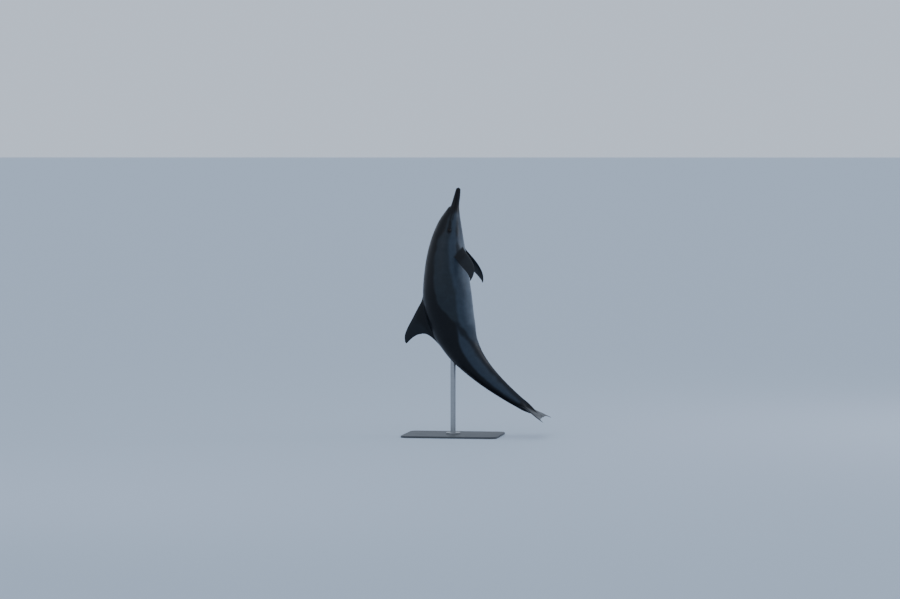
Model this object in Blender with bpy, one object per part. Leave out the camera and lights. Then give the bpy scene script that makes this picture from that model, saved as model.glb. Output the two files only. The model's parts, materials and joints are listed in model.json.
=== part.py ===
"""Common dolphin leaping upright, life size, on a plain display stand.

Frame: metres, +Z up. The origin is the centre of the underside of the stand's base,
under the animal's centre of mass. The animal's back faces -X, its belly +X, its right
side -Y and its beak points up.

Places on the animal are written as (station, rise, side), all as fractions of
TOTAL_LENGTH: the distance along the spine from the beak's tip, the distance from the
spine towards the back, and the distance towards the animal's left. to_world() bends
the spine and turns such a place into metres.
"""

import math

import bmesh
import bpy
import numpy as np
from mathutils import Matrix

# ---- driving dimensions, in metres ---------------------------------------------------

TOTAL_LENGTH = 2.05          # beak tip to the notch between the flukes
GAP = 0.0003                 # clearance between neighbouring solids

BEAK_TIP_X = 0.042           # where the beak's tip stands over the base
BEAK_TIP_Z = 1.900

EYE_RADIUS = 0.0145
EYE_SET = 0.0100             # how far the eyeball's centre lies under the cheek

BASE_LENGTH = 0.74
BASE_WIDTH = 0.54
BASE_THICKNESS = 0.015
BASE_CORNER = 0.060
BASE_EDGE = 0.004
ROD_RADIUS = 0.020
ROD_REACH = 0.850            # the rod is drawn to this height, then cut by the body
ROD_SIDES = 36
FLANGE_RADIUS = 0.055
FLANGE_THICKNESS = 0.012
FLANGE_EDGE = 0.002

# ---- the animal's stations along the spine, as fractions of its length ----------------

JAW_TIP = 0.0010             # the lower jaw is a little longer than the upper
BEAK_TIP = 0.0060
MELON_CREASE = 0.0740        # where the beak meets the forehead
GAPE = 0.1240                # corner of the mouth
NAPE = 0.2000                # head meets trunk
MID_TRUNK = 0.4000           # chest meets belly section, in front of the dorsal fin
VENT = 0.6600                # trunk meets tail stock
TAIL_END = 0.9860            # the tail stock runs out between the flukes

EYE_STATION = 0.1570
EYE_RISE = 0.0045

# Angle between the spine and straight down, in degrees, positive towards the belly.
SPINE_HEADING = [
    (0.00, -9.5), (0.16, -9.0), (0.24, -5.0), (0.32, 0.0), (0.44, 8.5),
    (0.56, 20.5), (0.66, 37.0), (0.76, 48.5), (0.88, 55.5), (1.00, 60.0),
]

# Distance from the spine to the outline of the back, of the belly and of the flank.
BACK = [
    (0.000, 0.0030), (0.006, 0.0078), (0.030, 0.0113), (0.070, 0.0172), (0.080, 0.0240),
    (0.120, 0.0464), (0.160, 0.0604), (0.240, 0.0778), (0.320, 0.0888), (0.420, 0.0984),
    (0.520, 0.0877), (0.600, 0.0685), (0.700, 0.0452), (0.800, 0.0310), (0.900, 0.0205),
    (0.950, 0.0150), (1.000, 0.0040),
]
BELLY = [
    (0.000, 0.0040), (0.006, 0.0085), (0.030, 0.0112), (0.060, 0.0125), (0.100, 0.0214),
    (0.160, 0.0405), (0.240, 0.0632), (0.320, 0.0773), (0.420, 0.0845), (0.520, 0.0783),
    (0.600, 0.0629), (0.700, 0.0478), (0.800, 0.0345), (0.900, 0.0215), (0.950, 0.0150),
    (1.000, 0.0040),
]
FLANK = [
    (0.000, 0.0035), (0.006, 0.0078), (0.030, 0.0112), (0.070, 0.0165), (0.090, 0.0265),
    (0.120, 0.0410), (0.160, 0.0535), (0.240, 0.0680), (0.320, 0.0765), (0.400, 0.0800),
    (0.520, 0.0690), (0.620, 0.0495), (0.740, 0.0280), (0.860, 0.0165), (0.950, 0.0115),
    (1.000, 0.0040),
]
# Roundness of a cross section: 2 is an ellipse, less is keeled, more is boxy.
ROUNDNESS = [(0.00, 2.4), (0.10, 2.15), (0.30, 2.0), (0.62, 2.0), (0.80, 1.70), (1.00, 1.75)]
# Level of the mouth line, which lifts at the corner of the mouth.
MOUTH = [(0.00, 0.0000), (0.06, 0.0000), (0.10, -0.0035), (0.13, -0.0020)]

RING_POINTS = 32             # points round the body
BEAK_RINGS = 9
MELON_RINGS = 7
HEAD_RINGS = 7
CHEST_RINGS = 10
BELLY_RINGS = 12
TAIL_RINGS = 14
TIP_CROWDING = 1.8           # how strongly the rings crowd towards the beak's tip

# ---- fins, as fractions of the animal's length -----------------------------------------

DORSAL_HEIGHT = 0.1095       # above the line of the back
DORSAL_ROOT_DEPTH = 0.020    # how far the loft reaches under the back before it is cut
DORSAL_LEADING = [
    (0.00, 0.4080), (0.17, 0.4287), (0.50, 0.4655), (0.80, 0.4935), (0.95, 0.5110),
    (1.00, 0.5235),
]
DORSAL_TRAILING = [
    (0.00, 0.5760), (0.10, 0.5330), (0.25, 0.5185), (0.50, 0.5172), (0.80, 0.5245),
    (1.00, 0.5300),
]
DORSAL_THICKNESS = [(0.00, 0.0150), (0.50, 0.0075), (1.00, 0.0018)]

FLIPPER_ROOT = (0.2520, -0.0500, 0.0540)      # centre of the flipper's root
FLIPPER_ROOT_DEPTH = 0.26                     # share of the span hidden before the cut
FLIPPER_TIP_RIGHT = (0.3470, -0.1050, 0.1400)
FLIPPER_TIP_LEFT = (0.3610, -0.1080, 0.1400)
FLIPPER_FORWARD_RIGHT = (-0.42, -0.76, -0.50)  # from the trailing to the leading edge
FLIPPER_FORWARD_LEFT = (-0.31, -0.58, -0.75)   # turned a little flatter to the body
FLIPPER_LEADING = [
    (-0.26, 0.0010), (0.00, 0.0235), (0.15, 0.0300), (0.30, 0.0318), (0.50, 0.0300),
    (0.75, 0.0200), (0.92, 0.0090), (1.00, 0.0015),
]
FLIPPER_TRAILING = [
    (-0.26, -0.0120), (0.00, -0.0190), (0.20, -0.0165), (0.40, -0.0085),
    (0.60, -0.0005), (0.80, 0.0030), (1.00, -0.0015),
]
FLIPPER_THICKNESS = [(0.00, 0.0110), (0.50, 0.0060), (1.00, 0.0016)]

FLUKE_HALF_SPAN = 0.1180
FLUKE_LEADING = [
    (0.00, 0.9080), (0.15, 0.9290), (0.45, 0.9530), (0.75, 0.9830), (0.93, 1.0070),
    (1.00, 1.0220),
]
FLUKE_TRAILING = [
    (0.00, 0.9980), (0.05, 1.0045), (0.14, 1.0090), (0.40, 1.0075), (0.65, 1.0090),
    (0.85, 1.0155), (1.00, 1.0265),
]
FLUKE_THICKNESS = [(0.00, 0.0125), (0.50, 0.0070), (1.00, 0.0016)]

EDGE_SHARE = 0.22            # how far a fin's section leans to a lens with blunt edges
FIN_RING_POINTS = 20
FIN_RINGS = 14

# ---- shape helpers ---------------------------------------------------------------------


def smooth(knots, t):
    """Read a curve through (place, value) knots that never overshoots them."""
    places = [place for place, _ in knots]
    values = [value for _, value in knots]
    t = min(max(t, places[0]), places[-1])
    steps = [b - a for a, b in zip(places, places[1:])]
    slopes = [(b - a) / step for a, b, step in zip(values, values[1:], steps)]
    tangents = [slopes[0]]
    for before, after in zip(slopes, slopes[1:]):
        flat = before * after <= 0.0
        tangents.append(0.0 if flat else 2.0 * before * after / (before + after))
    tangents.append(slopes[-1])
    i = next((k for k, place in enumerate(places[1:]) if t <= place), len(steps) - 1)
    u = (t - places[i]) / steps[i]
    rise = (3.0 - 2.0 * u) * u * u
    pull = steps[i] * u * (1.0 - u)
    ease = pull * ((1.0 - u) * tangents[i] - u * tangents[i + 1])
    return values[i] + (values[i + 1] - values[i]) * rise + ease


SPINE_STEPS = 1040           # steps of the sum that bends the spine
SPINE_REACH = 1.04           # the spine's line runs a little past the notch


def trace_spine():
    """Sum the spine's heading from the beak's tip to just past the flukes."""
    step = SPINE_REACH / SPINE_STEPS
    headings = [
        math.radians(smooth(SPINE_HEADING, (k + 0.5) * step)) for k in range(SPINE_STEPS)
    ]
    across = np.concatenate([[0.0], np.cumsum([math.sin(a) * step for a in headings])])
    down = np.concatenate([[0.0], np.cumsum([math.cos(a) * step for a in headings])])
    return across, down


SPINE_ACROSS, SPINE_DOWN = trace_spine()
SPINE_PLACES = np.linspace(0.0, SPINE_REACH, SPINE_STEPS + 1)


def to_world(station, rise, side):
    """Turn a place on the animal into metres in the part's frame."""
    heading = math.radians(smooth(SPINE_HEADING, station))
    across = np.interp(station, SPINE_PLACES, SPINE_ACROSS) - rise * math.cos(heading)
    down = np.interp(station, SPINE_PLACES, SPINE_DOWN) + rise * math.sin(heading)
    x = BEAK_TIP_X + across * TOTAL_LENGTH
    z = BEAK_TIP_Z - down * TOTAL_LENGTH
    return (float(x), side * TOTAL_LENGTH, float(z))


def middle_level(station):
    """Level of the widest part of a cross section, halfway from back to belly."""
    return (smooth(BACK, station) - smooth(BELLY, station)) / 2.0


def section_point(station, turn, swell=0.0):
    """Point of a cross section; turn is 0 on the back, pi on the belly."""
    middle = middle_level(station)
    depth = (smooth(BACK, station) + smooth(BELLY, station)) / 2.0 + swell
    width = smooth(FLANK, station) + swell
    power = 2.0 / smooth(ROUNDNESS, station)
    rise = math.copysign(abs(math.cos(turn)) ** power, math.cos(turn)) * depth
    side = math.copysign(abs(math.sin(turn)) ** power, math.sin(turn)) * width
    return to_world(station, middle + rise, side)


def turn_at_level(station, level):
    """Turn at which the cross section's outline passes a level."""
    depth = (smooth(BACK, station) + smooth(BELLY, station)) / 2.0
    share = max(-0.98, min(0.98, (level - middle_level(station)) / depth))
    power = smooth(ROUNDNESS, station) / 2.0
    return math.acos(math.copysign(abs(share) ** power, share))


def whole_ring(station, swell=0.0):
    """Closed ring round the whole body at one station."""
    return [
        section_point(station, 2.0 * math.pi * (k + 0.5) / RING_POINTS, swell)
        for k in range(RING_POINTS)
    ]


def jaw_ring(station, upper):
    """Ring round the part of the head above or below the mouth line."""
    clearance = GAP / TOTAL_LENGTH / 2.0
    count = RING_POINTS // 2 + 2
    if upper:
        reach = turn_at_level(station, smooth(MOUTH, station) + clearance)
        start, end = -reach, reach
    else:
        reach = turn_at_level(station, smooth(MOUTH, station) - clearance)
        start, end = reach, 2.0 * math.pi - reach
    return [section_point(station, start + (end - start) * k / (count - 1)) for k in range(count)]


def spread(first, last, count):
    """Evenly spread places from first to last."""
    return [first + (last - first) * k / (count - 1) for k in range(count)]


def tip_spread(first, last, count):
    """Places from first to last that crowd towards first, for a round tip."""
    shares = [(k / (count - 1)) ** TIP_CROWDING for k in range(count)]
    return [first + (last - first) * share for share in shares]


def make_material(name, colour, roughness, metallic=0.0):
    """Plain surface of one colour."""
    material = bpy.data.materials.new(name)
    material.use_nodes = True
    shader = material.node_tree.nodes["Principled BSDF"]
    shader.inputs["Base Color"].default_value = (*colour, 1.0)
    shader.inputs["Roughness"].default_value = roughness
    shader.inputs["Metallic"].default_value = metallic
    return material


def add_object(name, mesh, material):
    """Link a mesh to the scene as one named sub-part."""
    piece = bpy.data.objects.new(name, mesh)
    bpy.context.scene.collection.objects.link(piece)
    mesh.materials.append(material)
    return piece


def loft(name, rings, material):
    """Closed solid through rings of equal point counts, with a flat cap at each end."""
    builder = bmesh.new()
    loops = [[builder.verts.new(point) for point in ring] for ring in rings]
    for here, there in zip(loops, loops[1:]):
        for k in range(len(here)):
            nxt = (k + 1) % len(here)
            builder.faces.new((here[k], here[nxt], there[nxt], there[k]))
    builder.faces.new(list(reversed(loops[0])))
    builder.faces.new(loops[-1])
    bmesh.ops.recalc_face_normals(builder, faces=builder.faces)
    if builder.calc_volume(signed=True) < 0.0:
        bmesh.ops.reverse_faces(builder, faces=builder.faces)
    mesh = bpy.data.meshes.new(name)
    builder.to_mesh(mesh)
    builder.free()
    mesh.shade_smooth()
    mesh.set_sharp_from_angle(angle=math.radians(50.0))
    return add_object(name, mesh, material)


def cut_away(piece, cutter):
    """Take the cutter's space out of a piece."""
    boolean = piece.modifiers.new("cut", "BOOLEAN")
    boolean.operation = "DIFFERENCE"
    boolean.solver = "EXACT"
    boolean.object = cutter


def hide_cutter(cutter):
    """Mark an object as a guide that is not part of the model."""
    cutter.hide_render = True
    cutter.display_type = "WIRE"


# ---- the body --------------------------------------------------------------------------

CLEAR = GAP / TOTAL_LENGTH / 2.0      # half a gap, as a fraction of the length


def chest_stations():
    """Stations of the front half of the trunk."""
    return spread(NAPE + CLEAR, MID_TRUNK - CLEAR, CHEST_RINGS)


def belly_stations():
    """Stations of the rear half of the trunk."""
    return spread(MID_TRUNK + CLEAR, VENT - CLEAR, BELLY_RINGS)


def tail_stations():
    """Stations of the tail stock."""
    return spread(VENT + CLEAR, TAIL_END, TAIL_RINGS)


def build_beak_and_jaw(dark, pale):
    """Upper beak, forehead above the mouth line, and the lower jaw under both."""
    beak = tip_spread(BEAK_TIP, MELON_CREASE - CLEAR, BEAK_RINGS)
    loft("beak_upper", [jaw_ring(station, True) for station in beak], dark)
    melon = spread(MELON_CREASE + CLEAR, GAPE - CLEAR, MELON_RINGS)
    loft("melon", [jaw_ring(station, True) for station in melon], dark)
    jaw = spread(JAW_TIP, BEAK_TIP, 3) + beak[1:] + melon[1:]
    loft("jaw_lower", [jaw_ring(station, False) for station in jaw], pale)


def build_head(flesh, eye):
    """Head behind the mouth, with an open socket on each side and an eye in each."""
    stations = spread(GAPE + CLEAR, NAPE - CLEAR, HEAD_RINGS)
    head = loft("head", [whole_ring(station) for station in stations], flesh)
    depth = EYE_SET / TOTAL_LENGTH
    for name, sign in (("right", -1.0), ("left", 1.0)):
        side = sign * (smooth(FLANK, EYE_STATION) - depth)
        centre = to_world(EYE_STATION, EYE_RISE, side)
        build_ball("eye_" + name, centre, EYE_RADIUS, eye)
        socket = build_ball("socket_" + name, centre, EYE_RADIUS + GAP, eye)
        hide_cutter(socket)
        cut_away(head, socket)


def build_ball(name, centre, radius, material):
    """Round ball whose poles point out of the animal's sides."""
    builder = bmesh.new()
    sideways = Matrix.Rotation(math.radians(90.0), 4, "X")
    bmesh.ops.create_uvsphere(
        builder, u_segments=18, v_segments=10, radius=radius, matrix=sideways
    )
    mesh = bpy.data.meshes.new(name)
    builder.to_mesh(mesh)
    builder.free()
    mesh.shade_smooth()
    ball = add_object(name, mesh, material)
    ball.location = centre
    return ball


def build_trunk_and_tail(flesh, pale):
    """Front and rear halves of the trunk, and the tail stock."""
    loft("trunk_front", [whole_ring(station) for station in chest_stations()], flesh)
    loft("trunk_rear", [whole_ring(station) for station in belly_stations()], flesh)
    loft("tail_stock", [whole_ring(station) for station in tail_stations()], pale)


def build_body_cutter(material):
    """The trunk and tail, a gap larger all round, that shapes the fins' roots."""
    stations = [EYE_STATION] + chest_stations() + belly_stations() + tail_stations()
    rings = [whole_ring(station, swell=2.0 * CLEAR) for station in stations]
    cutter = loft("body_cutter", rings, material)
    hide_cutter(cutter)
    return cutter


# ---- fins, flippers and flukes ---------------------------------------------------------


def fin_section(share, thickness):
    """Half thickness of a fin at a share of its chord, full in front and fine behind."""
    airfoil = 2.6 * math.sqrt(share) * (1.0 - share)
    lens = 2.0 * math.sqrt(share * (1.0 - share))
    return thickness / 2.0 * (EDGE_SHARE * lens + (1.0 - EDGE_SHARE) * airfoil)


def fin_ring(place, thickness):
    """Ring round a fin; place(share, lift) gives the point at a share of its chord."""
    ring = []
    for k in range(FIN_RING_POINTS):
        turn = 2.0 * math.pi * (k + 0.5) / FIN_RING_POINTS
        share = (1.0 - math.cos(turn)) / 2.0
        lift = math.copysign(fin_section(share, thickness), math.sin(turn))
        ring.append(place(share, lift))
    return ring


def build_dorsal_fin(material, body_cutter):
    """Tall fin with a swept leading edge and a hollow trailing edge."""
    rings = []
    for span in [-DORSAL_ROOT_DEPTH / DORSAL_HEIGHT] + ease_spread(FIN_RINGS):
        lead = smooth(DORSAL_LEADING, span)
        trail = smooth(DORSAL_TRAILING, span)
        thickness = smooth(DORSAL_THICKNESS, span)

        def place(share, lift):
            station = lead + (trail - lead) * share
            line_of_back = smooth(BACK, station)
            return to_world(station, line_of_back + span * DORSAL_HEIGHT, lift)

        rings.append(fin_ring(place, thickness))
    fin = loft("dorsal_fin", rings, material)
    cut_away(fin, body_cutter)


def ease_spread(count):
    """Spanwise places from root to tip that crowd towards both."""
    return [(1.0 - math.cos(math.pi * k / (count - 1))) / 2.0 for k in range(count)]


def build_flipper(name, sign, tip, forward, material, body_cutter):
    """Sickle-shaped flipper swept back, down and out from the lower flank."""
    root = np.array(FLIPPER_ROOT)
    span_line = np.array(tip) - root
    along = span_line / np.linalg.norm(span_line)
    forward = np.array(forward) - along * np.dot(forward, along)
    forward = forward / np.linalg.norm(forward)
    normal = np.cross(along, forward)
    rings = []
    for span in [-FLIPPER_ROOT_DEPTH, -FLIPPER_ROOT_DEPTH / 2.0] + ease_spread(FIN_RINGS):
        lead = smooth(FLIPPER_LEADING, span)
        trail = smooth(FLIPPER_TRAILING, span)
        thickness = smooth(FLIPPER_THICKNESS, span)

        def place(share, lift):
            chord = lead + (trail - lead) * share
            spot = root + span_line * span + forward * chord + normal * lift
            return to_world(spot[0], spot[1], sign * spot[2])

        rings.append(fin_ring(place, thickness))
    flipper = loft("flipper_" + name, rings, material)
    cut_away(flipper, body_cutter)


def build_fluke(name, sign, material, body_cutter):
    """One half of the tail's blade, from the middle line to its swept tip."""
    rings = []
    for span in ease_spread(FIN_RINGS):
        lead = smooth(FLUKE_LEADING, span)
        trail = smooth(FLUKE_TRAILING, span)
        thickness = smooth(FLUKE_THICKNESS, span)
        side = sign * (CLEAR + span * FLUKE_HALF_SPAN)

        def place(share, lift):
            return to_world(lead + (trail - lead) * share, lift, side)

        rings.append(fin_ring(place, thickness))
    fluke = loft("fluke_" + name, rings, material)
    cut_away(fluke, body_cutter)


# ---- display stand ---------------------------------------------------------------------


def build_base(material):
    """Flat plate with round corners that stands on the floor."""
    builder = bmesh.new()
    bmesh.ops.create_cube(builder, size=1.0)
    for vertex in builder.verts:
        vertex.co.x *= BASE_LENGTH
        vertex.co.y *= BASE_WIDTH
        vertex.co.z = (vertex.co.z + 0.5) * BASE_THICKNESS
    upright = [edge for edge in builder.edges if is_upright(edge)]
    round_edges(builder, upright, BASE_CORNER, 8)
    round_edges(builder, [edge for edge in builder.edges if is_top_rim(edge)], BASE_EDGE, 3)
    mesh = bpy.data.meshes.new("stand_base")
    builder.to_mesh(mesh)
    builder.free()
    add_object("stand_base", mesh, material)


def round_edges(builder, edges, radius, segments):
    """Round off edges to a radius."""
    bmesh.ops.bevel(
        builder, geom=edges, offset=radius, segments=segments, profile=0.5, affect="EDGES"
    )


def is_upright(edge):
    """Whether an edge runs straight up."""
    a, b = (vertex.co for vertex in edge.verts)
    return abs(a.z - b.z) > BASE_THICKNESS / 2.0


def is_top_rim(edge):
    """Whether an edge lies on the plate's top, round its rim."""
    return all(abs(vertex.co.z - BASE_THICKNESS) < GAP for vertex in edge.verts)


def build_rod(material, body_cutter):
    """Round rod from the base up to the underside of the tail stock."""
    circle = [2.0 * math.pi * k / ROD_SIDES for k in range(ROD_SIDES)]
    rings = [
        [(ROD_RADIUS * math.cos(a), ROD_RADIUS * math.sin(a), level) for a in circle]
        for level in (BASE_THICKNESS + GAP, ROD_REACH)
    ]
    rod = loft("stand_rod", rings, material)
    cut_away(rod, body_cutter)


def build_flange(material):
    """Turned ring that clamps the rod's foot to the base."""
    low = BASE_THICKNESS + GAP
    high = low + FLANGE_THICKNESS
    bore = ROD_RADIUS + GAP
    outline = [
        (bore, low), (FLANGE_RADIUS, low), (FLANGE_RADIUS, high - FLANGE_EDGE),
        (FLANGE_RADIUS - FLANGE_EDGE, high), (bore, high),
    ]
    builder = bmesh.new()
    loops = []
    for k in range(ROD_SIDES):
        turn = 2.0 * math.pi * k / ROD_SIDES
        loops.append([
            builder.verts.new((r * math.cos(turn), r * math.sin(turn), z)) for r, z in outline
        ])
    for k in range(ROD_SIDES):
        here, there = loops[k], loops[(k + 1) % ROD_SIDES]
        for j in range(len(outline)):
            nxt = (j + 1) % len(outline)
            builder.faces.new((here[j], there[j], there[nxt], here[nxt]))
    bmesh.ops.recalc_face_normals(builder, faces=builder.faces)
    mesh = bpy.data.meshes.new("stand_flange")
    builder.to_mesh(mesh)
    builder.free()
    mesh.shade_smooth()
    mesh.set_sharp_from_angle(angle=math.radians(30.0))
    add_object("stand_flange", mesh, material)


def main():
    """Clear the scene and build the dolphin and its stand."""
    for leftover in list(bpy.data.objects):
        bpy.data.objects.remove(leftover, do_unlink=True)

    dark = make_material("dark_back_skin", (0.022, 0.024, 0.030), 0.30)
    flesh = make_material("grey_flank_skin", (0.085, 0.090, 0.095), 0.32)
    pale = make_material("pale_belly_skin", (0.300, 0.300, 0.290), 0.35)
    eye = make_material("dark_eye", (0.010, 0.008, 0.007), 0.08)
    plate = make_material("powder_coated_plate", (0.060, 0.062, 0.065), 0.55)
    steel = make_material("brushed_steel", (0.550, 0.550, 0.560), 0.30, metallic=1.0)

    build_beak_and_jaw(dark, pale)
    build_head(flesh, eye)
    build_trunk_and_tail(flesh, pale)
    body_cutter = build_body_cutter(flesh)
    build_dorsal_fin(dark, body_cutter)
    right = (FLIPPER_TIP_RIGHT, FLIPPER_FORWARD_RIGHT)
    left = (FLIPPER_TIP_LEFT, FLIPPER_FORWARD_LEFT)
    build_flipper("right", -1.0, *right, dark, body_cutter)
    build_flipper("left", 1.0, *left, dark, body_cutter)
    build_fluke("right", -1.0, dark, body_cutter)
    build_fluke("left", 1.0, dark, body_cutter)
    build_base(plate)
    build_flange(steel)
    build_rod(steel, body_cutter)


main()
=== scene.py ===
"""Looks of a life-size common dolphin that leaps upright on a plain display stand.

World units are metres in the part's frame: +Z up, the animal's back towards -X, its belly
towards +X and its left side towards +Y.

The skin is modelled straight, as if the animal lay stretched out, and every straight
point is (along, aside, above) in metres: how far it is from the beak's tip, to the
animal's left, and towards its back. A station is that first distance as a fraction of
the animal's length, and a turn is the angle round the body from the middle of the back.
Spine.bend() curves straight points into the pose.
"""

from __future__ import annotations

import json
import logging
import math
from collections.abc import Callable
from dataclasses import dataclass
from enum import Enum

import bpy
import numpy as np
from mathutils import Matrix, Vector

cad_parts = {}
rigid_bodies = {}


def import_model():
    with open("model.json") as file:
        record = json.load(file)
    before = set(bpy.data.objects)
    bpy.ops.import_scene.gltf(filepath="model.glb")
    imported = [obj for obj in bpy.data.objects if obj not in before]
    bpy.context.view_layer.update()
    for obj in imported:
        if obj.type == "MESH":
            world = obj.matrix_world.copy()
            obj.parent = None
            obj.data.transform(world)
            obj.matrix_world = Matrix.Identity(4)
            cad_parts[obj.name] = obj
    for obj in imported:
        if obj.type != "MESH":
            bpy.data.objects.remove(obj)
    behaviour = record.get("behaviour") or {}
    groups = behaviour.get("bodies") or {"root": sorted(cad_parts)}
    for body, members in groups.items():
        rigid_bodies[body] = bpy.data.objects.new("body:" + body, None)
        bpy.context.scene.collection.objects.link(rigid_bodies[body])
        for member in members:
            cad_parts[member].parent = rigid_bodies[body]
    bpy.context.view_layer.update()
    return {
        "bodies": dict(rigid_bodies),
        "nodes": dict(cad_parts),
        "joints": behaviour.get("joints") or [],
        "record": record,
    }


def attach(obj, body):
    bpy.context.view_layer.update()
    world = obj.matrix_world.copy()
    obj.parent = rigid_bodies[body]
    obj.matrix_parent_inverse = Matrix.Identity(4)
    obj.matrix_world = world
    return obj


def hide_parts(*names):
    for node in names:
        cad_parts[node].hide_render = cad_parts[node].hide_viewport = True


LOG = logging.getLogger("dolphin")

ROOT = "root"
MM = 0.001
FULL_TURN = 2.0 * math.pi
Values = np.ndarray | float  # one number or many


class Side(Enum):
    """One of the animal's two sides; the value is the sign of its offset along Y."""

    RIGHT = -1
    LEFT = 1

    @property
    def word(self) -> str:
        """Name of the side, as the part's nodes spell it."""
        return self.name.lower()


# ---- curves


class Curve:
    """Curve through (place, value) knots that never overshoots them."""

    def __init__(self, *knots: tuple[float, float]) -> None:
        """Work out the tangent at each knot.

        Args:
            knots: places in rising order, each with its value.
        """
        self.places, self.values = np.array(knots, float).T
        self.steps = np.diff(self.places)
        slopes = np.diff(self.values) / self.steps
        before, after = slopes[:-1], slopes[1:]
        turning = before * after <= 0.0
        total = np.where(turning, 1.0, before + after)
        inner = np.where(turning, 0.0, 2.0 * before * after / total)
        self.tangents = np.concatenate([slopes[:1], inner, slopes[-1:]])

    def __call__(self, place: Values) -> np.ndarray:
        """Read the curve.

        Args:
            place: where to read it; places beyond the ends read the end values.

        Returns:
            The values there.
        """
        t = np.clip(place, self.places[0], self.places[-1])
        i = np.clip(np.searchsorted(self.places, t) - 1, 0, len(self.steps) - 1)
        u = (t - self.places[i]) / self.steps[i]
        rise = (3.0 - 2.0 * u) * u * u
        pull = self.steps[i] * u * (1.0 - u)
        ease = pull * ((1.0 - u) * self.tangents[i] - u * self.tangents[i + 1])
        return self.values[i] + (self.values[i + 1] - self.values[i]) * rise + ease


def fade(low: float, high: float, value: np.ndarray) -> np.ndarray:
    """Ease from 0 at low to 1 at high.

    Args:
        low: where the result is 0.
        high: where the result is 1.
        value: what is compared with them.

    Returns:
        Shares from 0 to 1.
    """
    t = np.clip((value - low) / (high - low), 0.0, 1.0)
    return t * t * (3.0 - 2.0 * t)


def hump(distance: np.ndarray, width: float) -> np.ndarray:
    """Bell that is 1 at no distance and 0.37 at one width."""
    return np.exp(-((distance / width) ** 2))


def signed_power(value: np.ndarray, power: Values) -> np.ndarray:
    """Raise the size of a value to a power and keep its sign."""
    return np.sign(value) * np.abs(value) ** power


def unit(vectors: np.ndarray) -> np.ndarray:
    """Scale vectors to length 1."""
    return vectors / np.maximum(np.linalg.norm(vectors, axis=-1, keepdims=True), 1e-12)


def smooth_most(a: np.ndarray, b: np.ndarray, blend: float) -> np.ndarray:
    """Greater of two values, rounded off where they cross."""
    gap = np.abs(a - b)
    return np.maximum(a, b) + np.clip(blend - gap, 0.0, None) ** 2 / (4.0 * blend)


# ---- the animal's own measures

LENGTH = 2.05  # beak tip to the notch between the flukes


@dataclass(frozen=True)
class Spine:
    """The line that bends the straight animal into its leap."""

    tip_x: float = 0.042
    tip_z: float = 1.900
    reach: float = 1.04
    steps: int = 1040
    # Angle between the spine and straight down, in degrees, positive towards the belly.
    heading: Curve = Curve(
        (0.00, -9.5), (0.16, -9.0), (0.24, -5.0), (0.32, 0.0), (0.44, 8.5),
        (0.56, 20.5), (0.66, 37.0), (0.76, 48.5), (0.88, 55.5), (1.00, 60.0),
    )

    def bend(self, straight: np.ndarray) -> np.ndarray:
        """Curve straight points into the pose.

        Args:
            straight: points as (along, aside, above), one a row.

        Returns:
            The same points in the part's frame.
        """
        step = self.reach / self.steps
        angles = np.radians(self.heading((np.arange(self.steps) + 0.5) * step))
        places = np.linspace(0.0, self.reach, self.steps + 1) * LENGTH
        over = np.concatenate([[0.0], np.cumsum(np.sin(angles)) * step * LENGTH])
        down = np.concatenate([[0.0], np.cumsum(np.cos(angles)) * step * LENGTH])
        along, aside, above = straight.T
        tilt = np.radians(self.heading(along / LENGTH))
        x = self.tip_x + np.interp(along, places, over) - above * np.cos(tilt)
        z = self.tip_z - np.interp(along, places, down) - above * np.sin(tilt)
        return np.column_stack([x, aside, z])


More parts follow.
